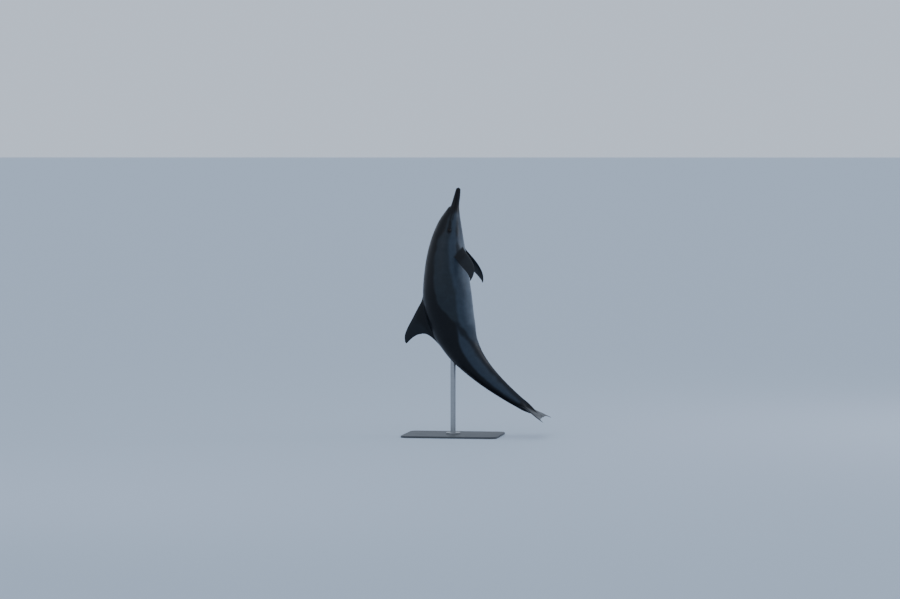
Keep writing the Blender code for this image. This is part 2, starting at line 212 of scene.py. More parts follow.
@dataclass(frozen=True)
class Body:
    """Beak, head, trunk and tail stock as one tube, with the creases in its skin."""

    back: Curve = Curve(
        (0.000, 0.0030), (0.006, 0.0078), (0.030, 0.0113), (0.070, 0.0172),
        (0.080, 0.0240), (0.120, 0.0464), (0.160, 0.0604), (0.240, 0.0778),
        (0.320, 0.0888), (0.420, 0.0984), (0.520, 0.0877), (0.600, 0.0685),
        (0.700, 0.0452), (0.800, 0.0310), (0.900, 0.0205), (0.950, 0.0150),
        (1.000, 0.0040),
    )
    belly: Curve = Curve(
        (0.000, 0.0040), (0.006, 0.0085), (0.030, 0.0112), (0.060, 0.0125),
        (0.100, 0.0214), (0.160, 0.0405), (0.240, 0.0632), (0.320, 0.0773),
        (0.420, 0.0845), (0.520, 0.0783), (0.600, 0.0629), (0.700, 0.0478),
        (0.800, 0.0345), (0.900, 0.0215), (0.950, 0.0150), (1.000, 0.0040),
    )
    flank: Curve = Curve(
        (0.000, 0.0035), (0.006, 0.0078), (0.030, 0.0112), (0.070, 0.0165),
        (0.090, 0.0265), (0.120, 0.0410), (0.160, 0.0535), (0.240, 0.0680),
        (0.320, 0.0765), (0.400, 0.0800), (0.520, 0.0690), (0.620, 0.0495),
        (0.740, 0.0280), (0.860, 0.0165), (0.950, 0.0115), (1.000, 0.0040),
    )
    # Roundness of a cross section: 2 is an ellipse, more is boxy.
    roundness: Curve = Curve((0.00, 2.4), (0.10, 2.15), (0.30, 2.0), (1.00, 2.0))
    # Share of the half width that the section loses towards its upper and lower keels.
    keel: Curve = Curve((0.60, 0.0), (0.78, 0.18), (1.00, 0.18))
    mouth: Curve = Curve((0.00, 0.0), (0.06, 0.0), (0.10, -0.0035), (0.13, -0.0020))
    nose_end: float = 0.005  # the beak's tip is rounded in front of this station
    tube_end: float = 0.885  # the tail blade starts here
    crease_front: float = 0.0735  # where beak and forehead meet on the midline
    crease_rear: float = 0.1160  # and beside the corner of the mouth
    crease_depth: float = 2.6 * MM
    crease_width: float = 2.4 * MM
    brow_height: float = 3.2 * MM  # the forehead swells this much behind the crease
    brow_place: float = 13.0 * MM
    crease_sweep: float = 1.7
    crease_sharpness: float = 1.4
    crease_fade: float = 0.62  # share of the way to the mouth where it starts to fade
    gape: float = 0.1235  # station of the mouth's corner
    lip_groove: float = 2.3 * MM
    lip_width: float = 1.3 * MM
    lip_swell: float = 0.7 * MM
    lip_crest: float = 4.0 * MM  # from the line of the mouth to the top of a lip
    lip_spread: float = 2.6 * MM
    # Stations past the corner over which the line, and the lips beside it, die out.
    line_end: tuple[float, float] = (-0.004, 0.001)
    lip_end: tuple[float, float] = (-0.002, 0.006)
    tip_strength: float = 0.35  # share of the lips that is left at the beak's tip
    tip_run: float = 0.012

    def section(self, station: Values) -> tuple[np.ndarray, ...]:
        """Measures of a cross section.

        Args:
            station: places along the spine.

        Returns:
            Middle level, half depth, half width and roundness, in metres but the last.
        """
        back, belly = self.back(station), self.belly(station)
        ahead = np.clip(1.0 - station / self.nose_end, 0.0, 1.0)
        taper = np.sqrt(1.0 - ahead**2)
        middle = (back - belly) / 2.0 * LENGTH
        depth = (back + belly) / 2.0 * LENGTH * taper
        return middle, depth, self.flank(station) * LENGTH * taper, self.roundness(station)

    def outline(self, station: Values, turn: Values) -> np.ndarray:
        """Straight points of the plain tube.

        Args:
            station: places along the spine.
            turn: angles round the body, positive on its left.

        Returns:
            The points.
        """
        middle, depth, width, roundness = self.section(station)
        power = 2.0 / roundness
        above = middle + signed_power(np.cos(turn), power) * depth
        aside = signed_power(np.sin(turn), power) * width
        aside = aside * (1.0 - self.keel(station) * np.cos(turn) ** 2)
        return np.stack([station * LENGTH + 0.0 * turn, aside, above], axis=-1)

    def slopes(self, station: Values, turn: Values) -> tuple[np.ndarray, np.ndarray]:
        """How the tube's points move with the station and with the turn.

        Args:
            station: places along the spine.
            turn: angles round the body.

        Returns:
            Metres for a unit of station, and for a radian of turn.
        """
        nudge = 1e-4
        along = self.outline(station + nudge, turn) - self.outline(station - nudge, turn)
        around = self.outline(station, turn + nudge) - self.outline(station, turn - nudge)
        return along / (2.0 * nudge), around / (2.0 * nudge)

    def normal(self, station: np.ndarray, turn: np.ndarray) -> np.ndarray:
        """Outward directions of the plain tube."""
        along, around = self.slopes(station, turn)
        return unit(np.cross(along, around))

    def turn_at(self, station: Values, level: Values) -> np.ndarray:
        """Turn at which the outline passes a level.

        Args:
            station: places along the spine.
            level: levels over the spine, as fractions of the length.

        Returns:
            Angles on the left side.
        """
        middle, depth, _, roundness = self.section(station)
        share = np.clip((level * LENGTH - middle) / np.maximum(depth, 1e-6), -0.98, 0.98)
        return np.arccos(signed_power(share, roundness / 2.0))

    def place_of(self, straight: np.ndarray) -> tuple[np.ndarray, np.ndarray]:
        """Place on the skin beside straight points that lie near it.

        Args:
            straight: points with a last axis of three.

        Returns:
            Their stations and turns.
        """
        station = straight[..., 0] / LENGTH
        middle, depth, width, roundness = self.section(station)
        upward = signed_power((straight[..., 2] - middle) / depth, roundness / 2.0)
        sideways = signed_power(straight[..., 1] / width, roundness / 2.0)
        return station, np.arctan2(sideways, upward)

    def mouth_gap(self, station: np.ndarray, above: np.ndarray) -> np.ndarray:
        """How deep places lie in the line of the mouth.

        Args:
            station: places along the spine.
            above: their levels, in metres.

        Returns:
            Shares from 0 away from the line to 1 in it.
        """
        end = 1.0 - fade(*(self.gape + step for step in self.line_end), station)
        level = above - self.mouth(station) * LENGTH
        return hump(level, self.lip_width) * end

    def relief(self, station: np.ndarray, turn: np.ndarray) -> np.ndarray:
        """How far the living skin stands out from the plain tube.

        Args:
            station: places along the spine.
            turn: angles round the body.

        Returns:
            Distances along the normal.
        """
        turn = np.abs((turn + math.pi) % FULL_TURN - math.pi)
        corner = self.turn_at(station, self.mouth(station))
        around = np.clip(turn / corner, 0.0, 1.0)
        sweep = (self.crease_rear - self.crease_front) * around**self.crease_sweep
        behind = (station - self.crease_front - sweep) * LENGTH
        strength = fade(1.0, self.crease_fade, around)
        steep = np.abs(behind / self.crease_width) ** self.crease_sharpness
        groove = -self.crease_depth * np.exp(-steep)
        run = np.clip(behind / self.brow_place, 0.0, 12.0)
        brow = self.brow_height * run * np.exp(1.0 - run)
        above = self.outline(station, turn)[..., 2]
        size = self.tip_strength + (1.0 - self.tip_strength) * fade(0.0, self.tip_run, station)
        end = 1.0 - fade(*(self.gape + step for step in self.lip_end), station)
        level = above - self.mouth(station) * LENGTH
        lips = self.lip_swell * hump(np.abs(level) - self.lip_crest, self.lip_spread) * end
        gap = -self.lip_groove * self.mouth_gap(station, above)
        return (groove + brow) * strength + (lips + gap) * size

    def skin(self, station: np.ndarray, turn: np.ndarray) -> np.ndarray:
        """Straight points of the living skin."""
        offset = self.relief(station, turn)[..., None]
        return self.outline(station, turn) + self.normal(station, turn) * offset


# ---- one mesh for the whole skin


class SkinMesh:
    """Vertices and faces of the skin as they are gathered, with their map places."""

    def __init__(self) -> None:
        """Start with no vertices."""
        self.rows: list[np.ndarray] = []  # each vertex's straight point, outward, and the painted shade of folds and openings
        self.faces: list[list[int]] = []
        self.maps: list[np.ndarray] = []
        self.count = 0

    def add(self, points: np.ndarray, outward: Values = -1.0,
            painted_fold_shade: Values = 0.0) -> np.ndarray:
        """Add straight points.

        Args:
            points: one a row.
            outward: how far each lies out along a fin, below zero on the body.
            painted_fold_shade: painted shade, 1 deep in folds and openings of the skin, 0
                outside.

        Returns:
            Their numbers.
        """
        number = len(points)
        extras = [np.broadcast_to(values, number) for values in (outward, painted_fold_shade)]
        self.rows.append(np.column_stack([points, *extras]))
        self.count += number
        return np.arange(self.count - number, self.count)

    def add_faces(self, corners: np.ndarray, places: np.ndarray) -> None:
        """Add faces with equal numbers of corners.

        Args:
            corners: vertex numbers, one face a row.
            places: their map places, two for each corner.
        """
        self.faces.extend(corners.tolist())
        self.maps.append(places.reshape(-1, 2))


class Sleeve:
    """A closed edge of the skin that is carried on, ring by ring."""

    def __init__(self, mesh: SkinMesh, numbers: np.ndarray, places: np.ndarray) -> None:
        """Take up an edge.

        Args:
            mesh: the skin so far.
            numbers: vertex numbers round the edge.
            places: their map places, with the first again at the end.
        """
        self.mesh, self.numbers, self.places = mesh, numbers, places

    def grow(self, points: np.ndarray, places: np.ndarray,
             outward: Values = -1.0, painted_fold_shade: float = 0.0) -> None:
        """Add one ring and join it to the edge.

        Args:
            points: its straight points, one for each of the edge's.
            places: their map places, with the first again at the end.
            outward: how far each lies out along a fin, below zero on the body.
            painted_fold_shade: painted shade, 1 deep in folds and openings of the skin, 0
                outside.
        """
        inner = self.mesh.add(points, outward, painted_fold_shade)
        corners = [self.numbers, np.roll(self.numbers, -1), np.roll(inner, -1), inner]
        maps = [self.places[:-1], self.places[1:], places[1:], places[:-1]]
        self.mesh.add_faces(np.stack(corners, axis=1), np.stack(maps, axis=1))
        self.numbers, self.places = inner, places

    def cap(self, lift: np.ndarray) -> None:
        """Close the edge with one point.

        Args:
            lift: what is added to the edge's middle to get that point.
        """
        last = self.mesh.rows[-1]
        middle = last[:, :3].mean(axis=0) + lift
        pole = self.mesh.add(middle[None], *last[:, 3:].max(axis=0))
        corners = [self.numbers, np.roll(self.numbers, -1), np.repeat(pole, len(last))]
        centre = np.broadcast_to(self.places[:-1].mean(axis=0), (len(last), 2))
        maps = [self.places[:-1], self.places[1:], centre]
        self.mesh.add_faces(np.stack(corners, axis=1), np.stack(maps, axis=1))


@dataclass(frozen=True)
class Patch:
    """The loop round a rectangle of the body's grid that is left out."""

    station: np.ndarray
    turn: np.ndarray
    numbers: np.ndarray


class BodyGrid:
    """Rings and lines of vertices over the body, close where the skin has detail."""

    # Distance between rings, as a fraction of the length.
    spacing: Curve = Curve(
        (0.000, 0.0003), (0.005, 0.0009), (0.020, 0.0013), (0.066, 0.0013),
        (0.075, 0.0008), (0.125, 0.0008), (0.140, 0.0012), (0.200, 0.0016),
        (0.250, 0.0038), (0.300, 0.0046), (0.850, 0.0046), (0.885, 0.0028),
    )
    # Stations over which the middle line leaves the mouth, and lines stop crowding to it.
    mouth_leaves: tuple[float, float] = (0.13, 0.22)
    crowd_ends: tuple[float, float] = (0.124, 0.150)
    closest: float = 0.7 * MM  # between the lines at the mouth
    # The body's strip of the map; the head gets a third of its length.
    map_across: Curve = Curve((0.0, 0.01), (0.215, 0.36), (1.0, 0.99))
    map_low: float = 0.02
    map_height: float = 0.54

    def __init__(self, body: Body, half_lines: int = 84) -> None:
        """Lay out the rings.

        Args:
            body: the shape they lie on.
            half_lines: lines from the middle of the back to the middle of the belly.
        """
        self.body = body
        self.half = half_lines
        self.lines = 2 * half_lines
        fine = np.linspace(0.0, body.tube_end, 20001)
        rings = np.concatenate([[0.0], np.cumsum(np.diff(fine) / self.spacing(fine[1:]))])
        count = int(rings[-1])
        self.stations = np.interp(np.linspace(0.0, rings[-1], count + 2), rings, fine)[1:]
        self.turns = self.lay_lines()
        self.holes: list[tuple[int, int, int, int]] = []
        self.mesh = SkinMesh()
        self.add_points()

    def lay_lines(self) -> np.ndarray:
        """Space the lines on the left side, close together at the mouth.

        Returns:
            Their turns, one row a ring, from back to belly.
        """
        samples = np.linspace(0.0, math.pi, 241)
        station = self.stations[:, None]
        outline = self.body.outline(station, samples[None] + 0.0 * station)
        steps = np.linalg.norm(np.diff(outline, axis=1), axis=2)
        arcs = np.concatenate([0.0 * station, np.cumsum(steps, axis=1)], axis=1)
        mouth = self.body.turn_at(self.stations, self.body.mouth(self.stations))
        blend = fade(*self.mouth_leaves, self.stations)
        middle = mouth + (math.pi / 2.0 - mouth) * blend
        upper = self.half // 2
        shares = np.arange(1, upper + 1) / upper
        rows = []
        for k, turn in enumerate(middle):
            top, whole = np.interp(turn, samples, arcs[k]), arcs[k][-1]
            close = 1.0 - fade(*self.crowd_ends, self.stations[k])
            lines = []
            for reach, way in ((top, -1.0), (whole - top, 1.0)):
                room = math.log(max(reach, 1e-4) / self.closest)
                crowd = max(1.0, room / math.log(upper))
                power = 1.0 + (crowd - 1.0) * close
                lines.append(top + way * reach * shares**power)
            places = np.concatenate([lines[0][::-1], [top], lines[1]])
            rows.append(np.interp(places, arcs[k], samples))
        turns = np.array(rows)
        turns[:, 0], turns[:, -1] = 0.0, math.pi
        return turns

    def turn(self, row: np.ndarray, column: np.ndarray) -> np.ndarray:
        """Turn of a line on a ring.

        Args:
            row: the ring.
            column: the line, counted round the body from the back.

        Returns:
            The angle round the body.
        """
        near = (column + self.half) % self.lines - self.half
        turns = np.sign(near) * self.turns[row, np.abs(near)]
        return turns + FULL_TURN * (column - near) / self.lines

    def number(self, row: np.ndarray, column: np.ndarray) -> np.ndarray:
        """Vertex number of a line on a ring."""
        return row * self.lines + column % self.lines

    def open_patch(self, station: float, turn: float, along: float, aside: float) -> Patch:
        """Leave a rectangle of the grid out.

        Args:
            station: the place it is round.
            turn: the angle it is round.
            along: how far it reaches towards beak and tail, in metres.
            aside: how far it reaches round the body, both ways.

        Returns:
            The patch, whose loop runs the way the left-out faces did.
        """
        first = int(np.searchsorted(self.stations, station - along / LENGTH)) - 1
        last = int(np.searchsorted(self.stations, station + along / LENGTH))
        middle = int(np.searchsorted(self.stations, station))
        columns = np.arange(-self.half, self.lines)
        turns = self.turn(np.full(len(columns), middle), columns)
        reach = aside / np.linalg.norm(self.body.slopes(station, turn)[1])
        left = int(columns[np.searchsorted(turns, turn - reach)]) - 1
        right = int(columns[np.searchsorted(turns, turn + reach)])
        self.holes.append((first, last, left, right))
        rows = np.concatenate([
            np.full(right - left, first), np.arange(first, last),
            np.full(right - left, last), np.arange(last, first, -1),
        ])
        cols = np.concatenate([
            np.arange(left, right), np.full(last - first, right),
            np.arange(right, left, -1), np.full(last - first, left),
        ])
        return Patch(self.stations[rows], self.turn(rows, cols), self.number(rows, cols))

    def map_place(self, station: np.ndarray, turn: np.ndarray) -> np.ndarray:
        """Place of skin on the body's strip of the map."""
        height = self.map_low + self.map_height * (turn + math.pi) / FULL_TURN
        return np.stack([self.map_across(station + 0.0 * turn), height], axis=-1)

    def loop_map(self, station: np.ndarray, turn: np.ndarray) -> np.ndarray:
        """Places on the unwrapping of a closed loop, with the first again at the end."""
        places = self.map_place(station, turn)
        return np.vstack([places, places[:1]])

    def sleeve(self, patch: Patch) -> Sleeve:
        """Take up the edge of a patch."""
        return Sleeve(self.mesh, patch.numbers, self.loop_map(patch.station, patch.turn))

    def add_points(self) -> None:
        """Add every vertex of the grid."""
        rows, columns = np.meshgrid(
            np.arange(len(self.stations)), np.arange(self.lines), indexing="ij"
        )
        rows, columns = rows.ravel(), columns.ravel()
        station, turn = self.stations[rows], self.turn(rows, columns)
        points = self.body.skin(station, turn)
        # The mouth's line is also stored as painted shade, darkest deep in it.
        self.mesh.add(points, -1.0, self.body.mouth_gap(station, points[:, 2]))

    def add_faces(self) -> None:
        """Add the faces outside the patches, and close the beak's tip."""
        rows, columns = np.meshgrid(
            np.arange(len(self.stations) - 1), np.arange(-self.half, self.half),
            indexing="ij",
        )
        rows, columns = rows.ravel(), columns.ravel()
        keep = np.ones(len(rows), bool)
        for first, last, left, right in self.holes:
            inside = (rows >= first) & (rows < last)
            shifted = (columns - left) % self.lines
            keep &= ~(inside & (shifted < right - left))
        rows, columns = rows[keep], columns[keep]
        corners = [(0, 0), (0, 1), (1, 1), (1, 0)]
        numbers = [self.number(rows + r, columns + c) for r, c in corners]
        places = [
            self.map_place(self.stations[rows + r], self.turn(rows + r, columns + c))
            for r, c in corners
        ]
        self.mesh.add_faces(np.stack(numbers, axis=1), np.stack(places, axis=1))
        middle = float(self.body.section(0.0)[0])
        pole = self.mesh.add(np.array([[0.0, 0.0, middle]]))
        columns = np.arange(-self.half, self.half)
        first = np.zeros(self.lines, int)
        numbers = [
            self.number(0, columns + 1), self.number(0, columns), np.repeat(pole, self.lines)
        ]
        places = [
            self.map_place(station, self.turn(first, columns + k))
            for station, k in ((self.stations[0], 1), (self.stations[0], 0), (0.0, 0))
        ]
        self.mesh.add_faces(np.stack(numbers, axis=1), np.stack(places, axis=1))


def line_up(patch: Patch, body: Body, front: np.ndarray,
            goal: Callable[[np.ndarray], np.ndarray]) -> tuple[Patch, np.ndarray]:
    """Turn a patch's loop so that it starts in front, and match it to what fills it.

    Args:
        patch: the patch.
        body: the body it is on.
        front: direction from the loop's middle to its start.
        goal: straight points that the loop runs along with, from how far round they are.

    Returns:
        The patch with its loop turned, and for each point of it how far round it is:
        0 in front and one half opposite.
    """
    points = body.skin(patch.station, patch.turn)
    begin = int(np.argmax(unit(points - points.mean(axis=0)) @ front))
    order = np.roll(np.arange(len(points)), -begin)
    points = points[order]
    half = int(np.argmin(unit(points - points.mean(axis=0)) @ front))
    steps = np.linalg.norm(np.roll(points, -1, axis=0) - points, axis=1)
    arc = np.concatenate([[0.0], np.cumsum(steps)])
    share = np.where(
        np.arange(len(arc)) <= half,
        0.5 * arc / arc[half],
        0.5 + 0.5 * (arc - arc[half]) / (arc[-1] - arc[half]),
    )[:-1]
    miss = [np.linalg.norm(points - goal(way), axis=1).sum() for way in (share, 1.0 - share)]
    turned = Patch(patch.station[order], patch.turn[order], patch.numbers[order])
    return turned, share if miss[0] <= miss[1] else 1.0 - share


# ---- fins


def blade_section(share: np.ndarray, lens: float) -> np.ndarray:
    """Half thickness of a fin's section, as a share of its greatest.

    Args:
        share: places across the chord, from 0 at the leading to 1 at the trailing edge.
        lens: how far it leans from an aerofoil to a lens with blunt edges.

    Returns:
        Shares from 0 to 1.
    """
    blunt = 2.0 * np.sqrt(share * (1.0 - share))
    airfoil = 2.6 * np.sqrt(share) * (1.0 - share)  # 2.6 makes its greatest value 1
    return lens * blunt + (1.0 - lens) * airfoil


@dataclass(frozen=True)
class Reach:
    """A distance round a fin: in front, beside and behind it, in metres."""

    front: float
    side: float
    rear: float

    def at(self, around: np.ndarray) -> np.ndarray:
        """Read the distance.

        Args:
            around: places round the fin, 0 in front and one half behind.

        Returns:
            The distances there.
        """
        facing = np.cos(FULL_TURN * around)
        front, rear = np.clip(facing, 0.0, 1.0) ** 2, np.clip(-facing, 0.0, 1.0) ** 2
        return self.side + (self.front - self.side) * front + (self.rear - self.side) * rear


@dataclass(frozen=True)
class Fin:
    """A blade that grows out of the body in a smooth fillet.

    Spans run from 0 at the root to 1 at the tip; chords and thicknesses are fractions
    of the animal's length.
    """

    leading: Curve
    trailing: Curve
    thickness: Curve
    span_length: float  # metres from root to tip
    foot_reach: Reach  # how far the fillet spreads over the body
    blade_reach: Reach  # how far it climbs the blade
    island: tuple[float, float, float, float]  # its place on the unwrapping
    buried: float = -0.6  # the blade is followed inwards to this span
    emerged: float = 0.6  # by this span it is all outside the body
    rings: int = 36
    fillet_rings: int = 10
    skirt_rings: int = 3
    margin: float = 9.0 * MM  # from the fillet to the edge of the patch
    edge_share: float = 0.22  # how far the section leans to a lens with blunt edges
    tip_crowding: float = 1.3  # how much closer the rings lie towards the tip

    def place(self, chord: np.ndarray, lift: np.ndarray, span: np.ndarray) -> np.ndarray:
        """Straight point at a place on the chord, as fractions of the length."""
        raise NotImplementedError

    def ring(self, span: Values, around: np.ndarray) -> np.ndarray:
        """Straight points round the fin.

        Args:
            span: how far out each point is.
            around: 0 at the leading edge, one half at the trailing edge.

        Returns:
            One point for each.
        """
        lead, trail = self.leading(span), self.trailing(span)
        share = (1.0 - np.cos(FULL_TURN * around)) / 2.0
        half = blade_section(share, self.edge_share) * self.thickness(span) / 2.0
        lift = np.sign(np.sin(FULL_TURN * around)) * half
        return self.place(lead + (trail - lead) * share, lift, span + 0.0 * share)

    def crossing(self, body: Body, around: np.ndarray) -> np.ndarray:
        """Find where the blade comes out of the body.

        Args:
            body: the body.
            around: places round the fin.

        Returns:
            The span there, for each place.
        """
        spans = np.linspace(self.buried, self.emerged, 240)
        points = self.ring(spans[:, None], around[None])
        middle, depth, width, roundness = body.section(points[..., 0] / LENGTH)
        height = np.abs((points[..., 2] - middle) / depth) ** roundness
        height = height + np.abs(points[..., 1] / width) ** roundness - 1.0
        height[0] = np.minimum(height[0], -1e-6)  # the innermost ring counts as buried
        last = len(spans) - 1 - np.argmax(height[::-1] < 0.0, axis=0)
        last = np.clip(last, 0, len(spans) - 2)
        which = np.arange(len(around))
        inner, outer = height[last, which], height[last + 1, which]
        share = np.clip(-inner / (outer - inner), 0.0, 1.0)
        return spans[last] + (spans[last + 1] - spans[last]) * share

    def foot(self, body: Body, around: np.ndarray) -> tuple[np.ndarray, np.ndarray]:
        """Line on the body where the fillet starts, a rounded loop about the blade.

        Args:
            body: the body.
            around: places round the fin.

        Returns:
            Stations and turns.
        """
        quarter = 12
        probes = np.arange(4 * quarter) / (4.0 * quarter)
        station, turn = body.place_of(self.ring(self.crossing(body, probes), probes))
        slopes = body.slopes(station.mean(), turn.mean())
        radius = np.linalg.norm(slopes[1])
        flat = np.column_stack([station * LENGTH, turn * radius])
        front, rear = flat[0], flat[2 * quarter]
        middle, half = (front + rear) / 2.0, np.linalg.norm(front - rear) / 2.0
        run = unit(front - rear)
        side = np.array([-run[1], run[0]])
        offset = (flat - middle) @ side
        side, offset = (side, offset) if offset[quarter] > 0.0 else (-side, -offset)
        near, far = offset[quarter], offset[3 * quarter]
        bow, thick = (near + far) / 2.0, (near - far) / 2.0
        facing, beside = np.cos(FULL_TURN * around), np.sin(FULL_TURN * around)
        reach = np.where(facing > 0.0, self.foot_reach.front, self.foot_reach.rear)
        lengths, widths = half + reach, thick + self.foot_reach.side
        flat = middle + (facing * lengths)[:, None] * run
        flat = flat + (beside * widths + bow * (1.0 - facing**2))[:, None] * side
        return flat[:, 0] / LENGTH, flat[:, 1] / radius

    def patch(self, grid: BodyGrid) -> Patch:
        """Leave room for the fin's foot in the grid.

        Args:
            grid: the body's grid.

        Returns:
            The loop round it.
        """
        station, turn = self.foot(grid.body, np.arange(96) / 96.0)
        middle = [float(v.min() + v.max()) / 2.0 for v in (station, turn)]
        radius = np.linalg.norm(grid.body.slopes(*middle)[1])
        along = np.ptp(station) / 2.0 * LENGTH + self.margin
        aside = np.ptp(turn) / 2.0 * radius + self.margin
        return grid.open_patch(*middle, along, aside)

    def attach(self, grid: BodyGrid) -> None:
        """Grow the fin out of a patch of the body.

        Args:
            grid: the body's grid.
        """
        body, patch = grid.body, self.patch(grid)
        ends = np.array([0.0, 0.5])
        front, rear = self.ring(self.crossing(body, ends), ends)
        across = unit(body.normal(patch.station, patch.turn).mean(axis=0))
        chord = unit(front - rear - across * ((front - rear) @ across))
        patch, around = line_up(patch, body, chord, lambda way: self.ring(0.15, way))
        station, turn = self.foot(body, around)
        reach = self.foot_reach.at(around)
        sleeve = grid.sleeve(patch)
        for share in np.arange(1, self.skirt_rings + 1) / self.skirt_rings:
            here = patch.station + (station - patch.station) * share
            there = patch.turn + (turn - patch.turn) * share
            foot = body.skin(here, there)
            outward = -reach - self.margin * (1.0 - share)
            sleeve.grow(foot, grid.loop_map(here, there), outward)
        free = self.crossing(body, around) + self.blade_reach.at(around) / self.span_length
        fillet = self.fillet(foot, body.normal(station, turn), around, free)
        self.wrap(sleeve, foot, fillet + self.blade(around, free), -reach)

    def fillet(self, foot: np.ndarray, normal: np.ndarray, around: np.ndarray,
               free: np.ndarray) -> list[np.ndarray]:
        """Raise rings from a line on the body that sweep smoothly into the blade.

        Args:
            foot: straight points of the line.
            normal: outward directions of the body there.
            around: where each point is round the fin.
            free: span at which the fillet ends, for each point.

        Returns:
            Straight points, one ring after another.
        """
        root = self.ring(free, around)
        rising = unit(self.ring(free + 0.01, around) - root)
        inward = root - foot
        pull = np.linalg.norm(inward, axis=1, keepdims=True)
        inward = unit(inward - normal * (inward * normal).sum(axis=1, keepdims=True))
        rings = []
        for t in np.arange(1, self.fillet_rings + 1) / self.fillet_rings:
            start = (1.0 + 2.0 * t) * (1.0 - t) ** 2 * foot + t * (1.0 - t) ** 2 * pull * inward
            end = t * t * (3.0 - 2.0 * t) * root + t * t * (t - 1.0) * pull * rising
            rings.append(start + end)
        return rings

    def blade(self, around: np.ndarray, free: np.ndarray) -> list[np.ndarray]:
        """Carry rings from the end of the fillet out to the rounded tip.

        Args:
            around: where each point is round the fin.
            free: span at which the fillet ends, for each point.

        Returns:
            Straight points, one ring after another.
        """
        rings = []
        for k in range(1, self.rings + 1):
            ease = math.sin(math.pi / 2.0 * k / self.rings) ** self.tip_crowding
            rings.append(self.ring(free + (1.0 - free) * ease, around))
        tip = rings[-1]
        middle = tip.mean(axis=0)
        away = unit(middle - self.ring(0.96, around).mean(axis=0))
        rounding = float(self.thickness(1.0)) * LENGTH
        for angle in np.radians([30.0, 60.0, 80.0]):
            lift = away * rounding * math.sin(angle)
            rings.append(middle + (tip - middle) * math.cos(angle) + lift)
        return rings

    def wrap(self, sleeve: Sleeve, foot: np.ndarray, rings: list[np.ndarray],
             outward: np.ndarray) -> None:
        """Add the fin's rings, mapped as an island of their own.

        Args:
            sleeve: the edge of the skin at the fin's foot.
            foot: its straight points.
            rings: straight points of the rings, from the foot to the tip.
            outward: how far out the foot counts as lying.
        """
        left, low, right, high = self.island
        across = np.linspace(left, right, len(foot) + 1)
        gaps = [np.linalg.norm(b - a, axis=1) for a, b in zip([foot] + rings, rings)]
        travel = np.cumsum([gap.mean() for gap in gaps])
        sleeve.places = np.column_stack([across, 0.0 * across + low])
        for ring, gap, distance in zip(rings, gaps, travel):
            outward = outward + gap
            height = low + (high - low) * distance / travel[-1]
            sleeve.grow(ring, np.column_stack([across, 0.0 * across + height]), outward)
        sleeve.cap(np.zeros(3))


@dataclass(frozen=True)
class DorsalFin(Fin):
    """Tall fin with a swept leading edge and a hollow trailing edge."""

    height: float = 0.1095
    leading: Curve = Curve(
        (0.00, 0.4080), (0.17, 0.4287), (0.50, 0.4655), (0.80, 0.4935), (0.93, 0.5075),
        (0.98, 0.5160), (1.00, 0.5222),
    )
    trailing: Curve = Curve(
        (0.00, 0.5760), (0.04, 0.5540), (0.09, 0.5395), (0.16, 0.5280), (0.25, 0.5205),
        (0.37, 0.5172), (0.50, 0.5165), (0.65, 0.5190), (0.80, 0.5238), (0.92, 0.5288),
        (0.98, 0.5310), (1.00, 0.5305),
    )
    thickness: Curve = Curve((0.00, 0.0150), (0.50, 0.0075), (1.00, 0.0018))
    span_length: float = 0.2245
    foot_reach: Reach = Reach(45.0 * MM, 17.0 * MM, 24.0 * MM)
    blade_reach: Reach = Reach(34.0 * MM, 18.0 * MM, 16.0 * MM)
    island: tuple[float, float, float, float] = (0.02, 0.62, 0.38, 0.97)
    buried: float = -0.2
    rings: int = 52
    back: Curve = Body.back

    def place(self, chord: np.ndarray, lift: np.ndarray, span: np.ndarray) -> np.ndarray:
        """Straight point over the line of the back."""
        above = self.back(chord) + span * self.height
        return np.stack([chord, lift + 0.0 * chord, above], axis=-1) * LENGTH


@dataclass(frozen=True)
class Flipper(Fin):
    """Sickle-shaped flipper swept back, down and out from the lower flank."""

    leading: Curve = Curve(
        (-0.30, 0.0220), (-0.10, 0.0275), (0.05, 0.0325), (0.20, 0.0362), (0.35, 0.0374),
        (0.50, 0.0357), (0.62, 0.0319), (0.75, 0.0250), (0.86, 0.0166), (0.94, 0.0088),
        (1.00, 0.0018),
    )
    trailing: Curve = Curve(
        (-0.30, -0.0400), (-0.10, -0.0262), (0.00, -0.0205), (0.08, -0.0174),
        (0.16, -0.0154), (0.30, -0.0120), (0.45, -0.0062), (0.60, -0.0005),
        (0.75, 0.0025), (0.90, 0.0022), (1.00, -0.0020),
    )
    thickness: Curve = Curve((0.00, 0.0110), (0.50, 0.0060), (1.00, 0.0016))
    span_length: float = 0.286
    foot_reach: Reach = Reach(22.0 * MM, 13.0 * MM, 11.0 * MM)
    blade_reach: Reach = Reach(28.0 * MM, 18.0 * MM, 12.0 * MM)
    island: tuple[float, float, float, float] = (0.41, 0.62, 0.68, 0.97)
    side: Side = Side.RIGHT
    root: tuple[float, float, float] = (0.2520, -0.0500, 0.0540)
    tip: tuple[float, float, float] = (0.3470, -0.1050, 0.1400)
    forward: tuple[float, float, float] = (-0.42, -0.76, -0.50)

    def place(self, chord: np.ndarray, lift: np.ndarray, span: np.ndarray) -> np.ndarray:
        """Straight point on the blade, whose root and tip are (station, rise, side).

        Args:
            chord: how far forward it lies.
            lift: how far it lies off the blade's middle plane.
            span: how far out it lies.

        Returns:
            Points with a last axis of three.
        """
        root = np.array(self.root)
        reach = np.array(self.tip) - root
        along = reach / np.linalg.norm(reach)
        forward = np.array(self.forward)
        forward = unit(forward - along * (forward @ along))
        normal = np.cross(along, forward)
        spot = root + reach * span[..., None] + forward * chord[..., None]
        spot = spot + normal * lift[..., None]
        sides = spot[..., 2] * self.side.value
        return np.stack([spot[..., 0], sides, spot[..., 1]], axis=-1) * LENGTH


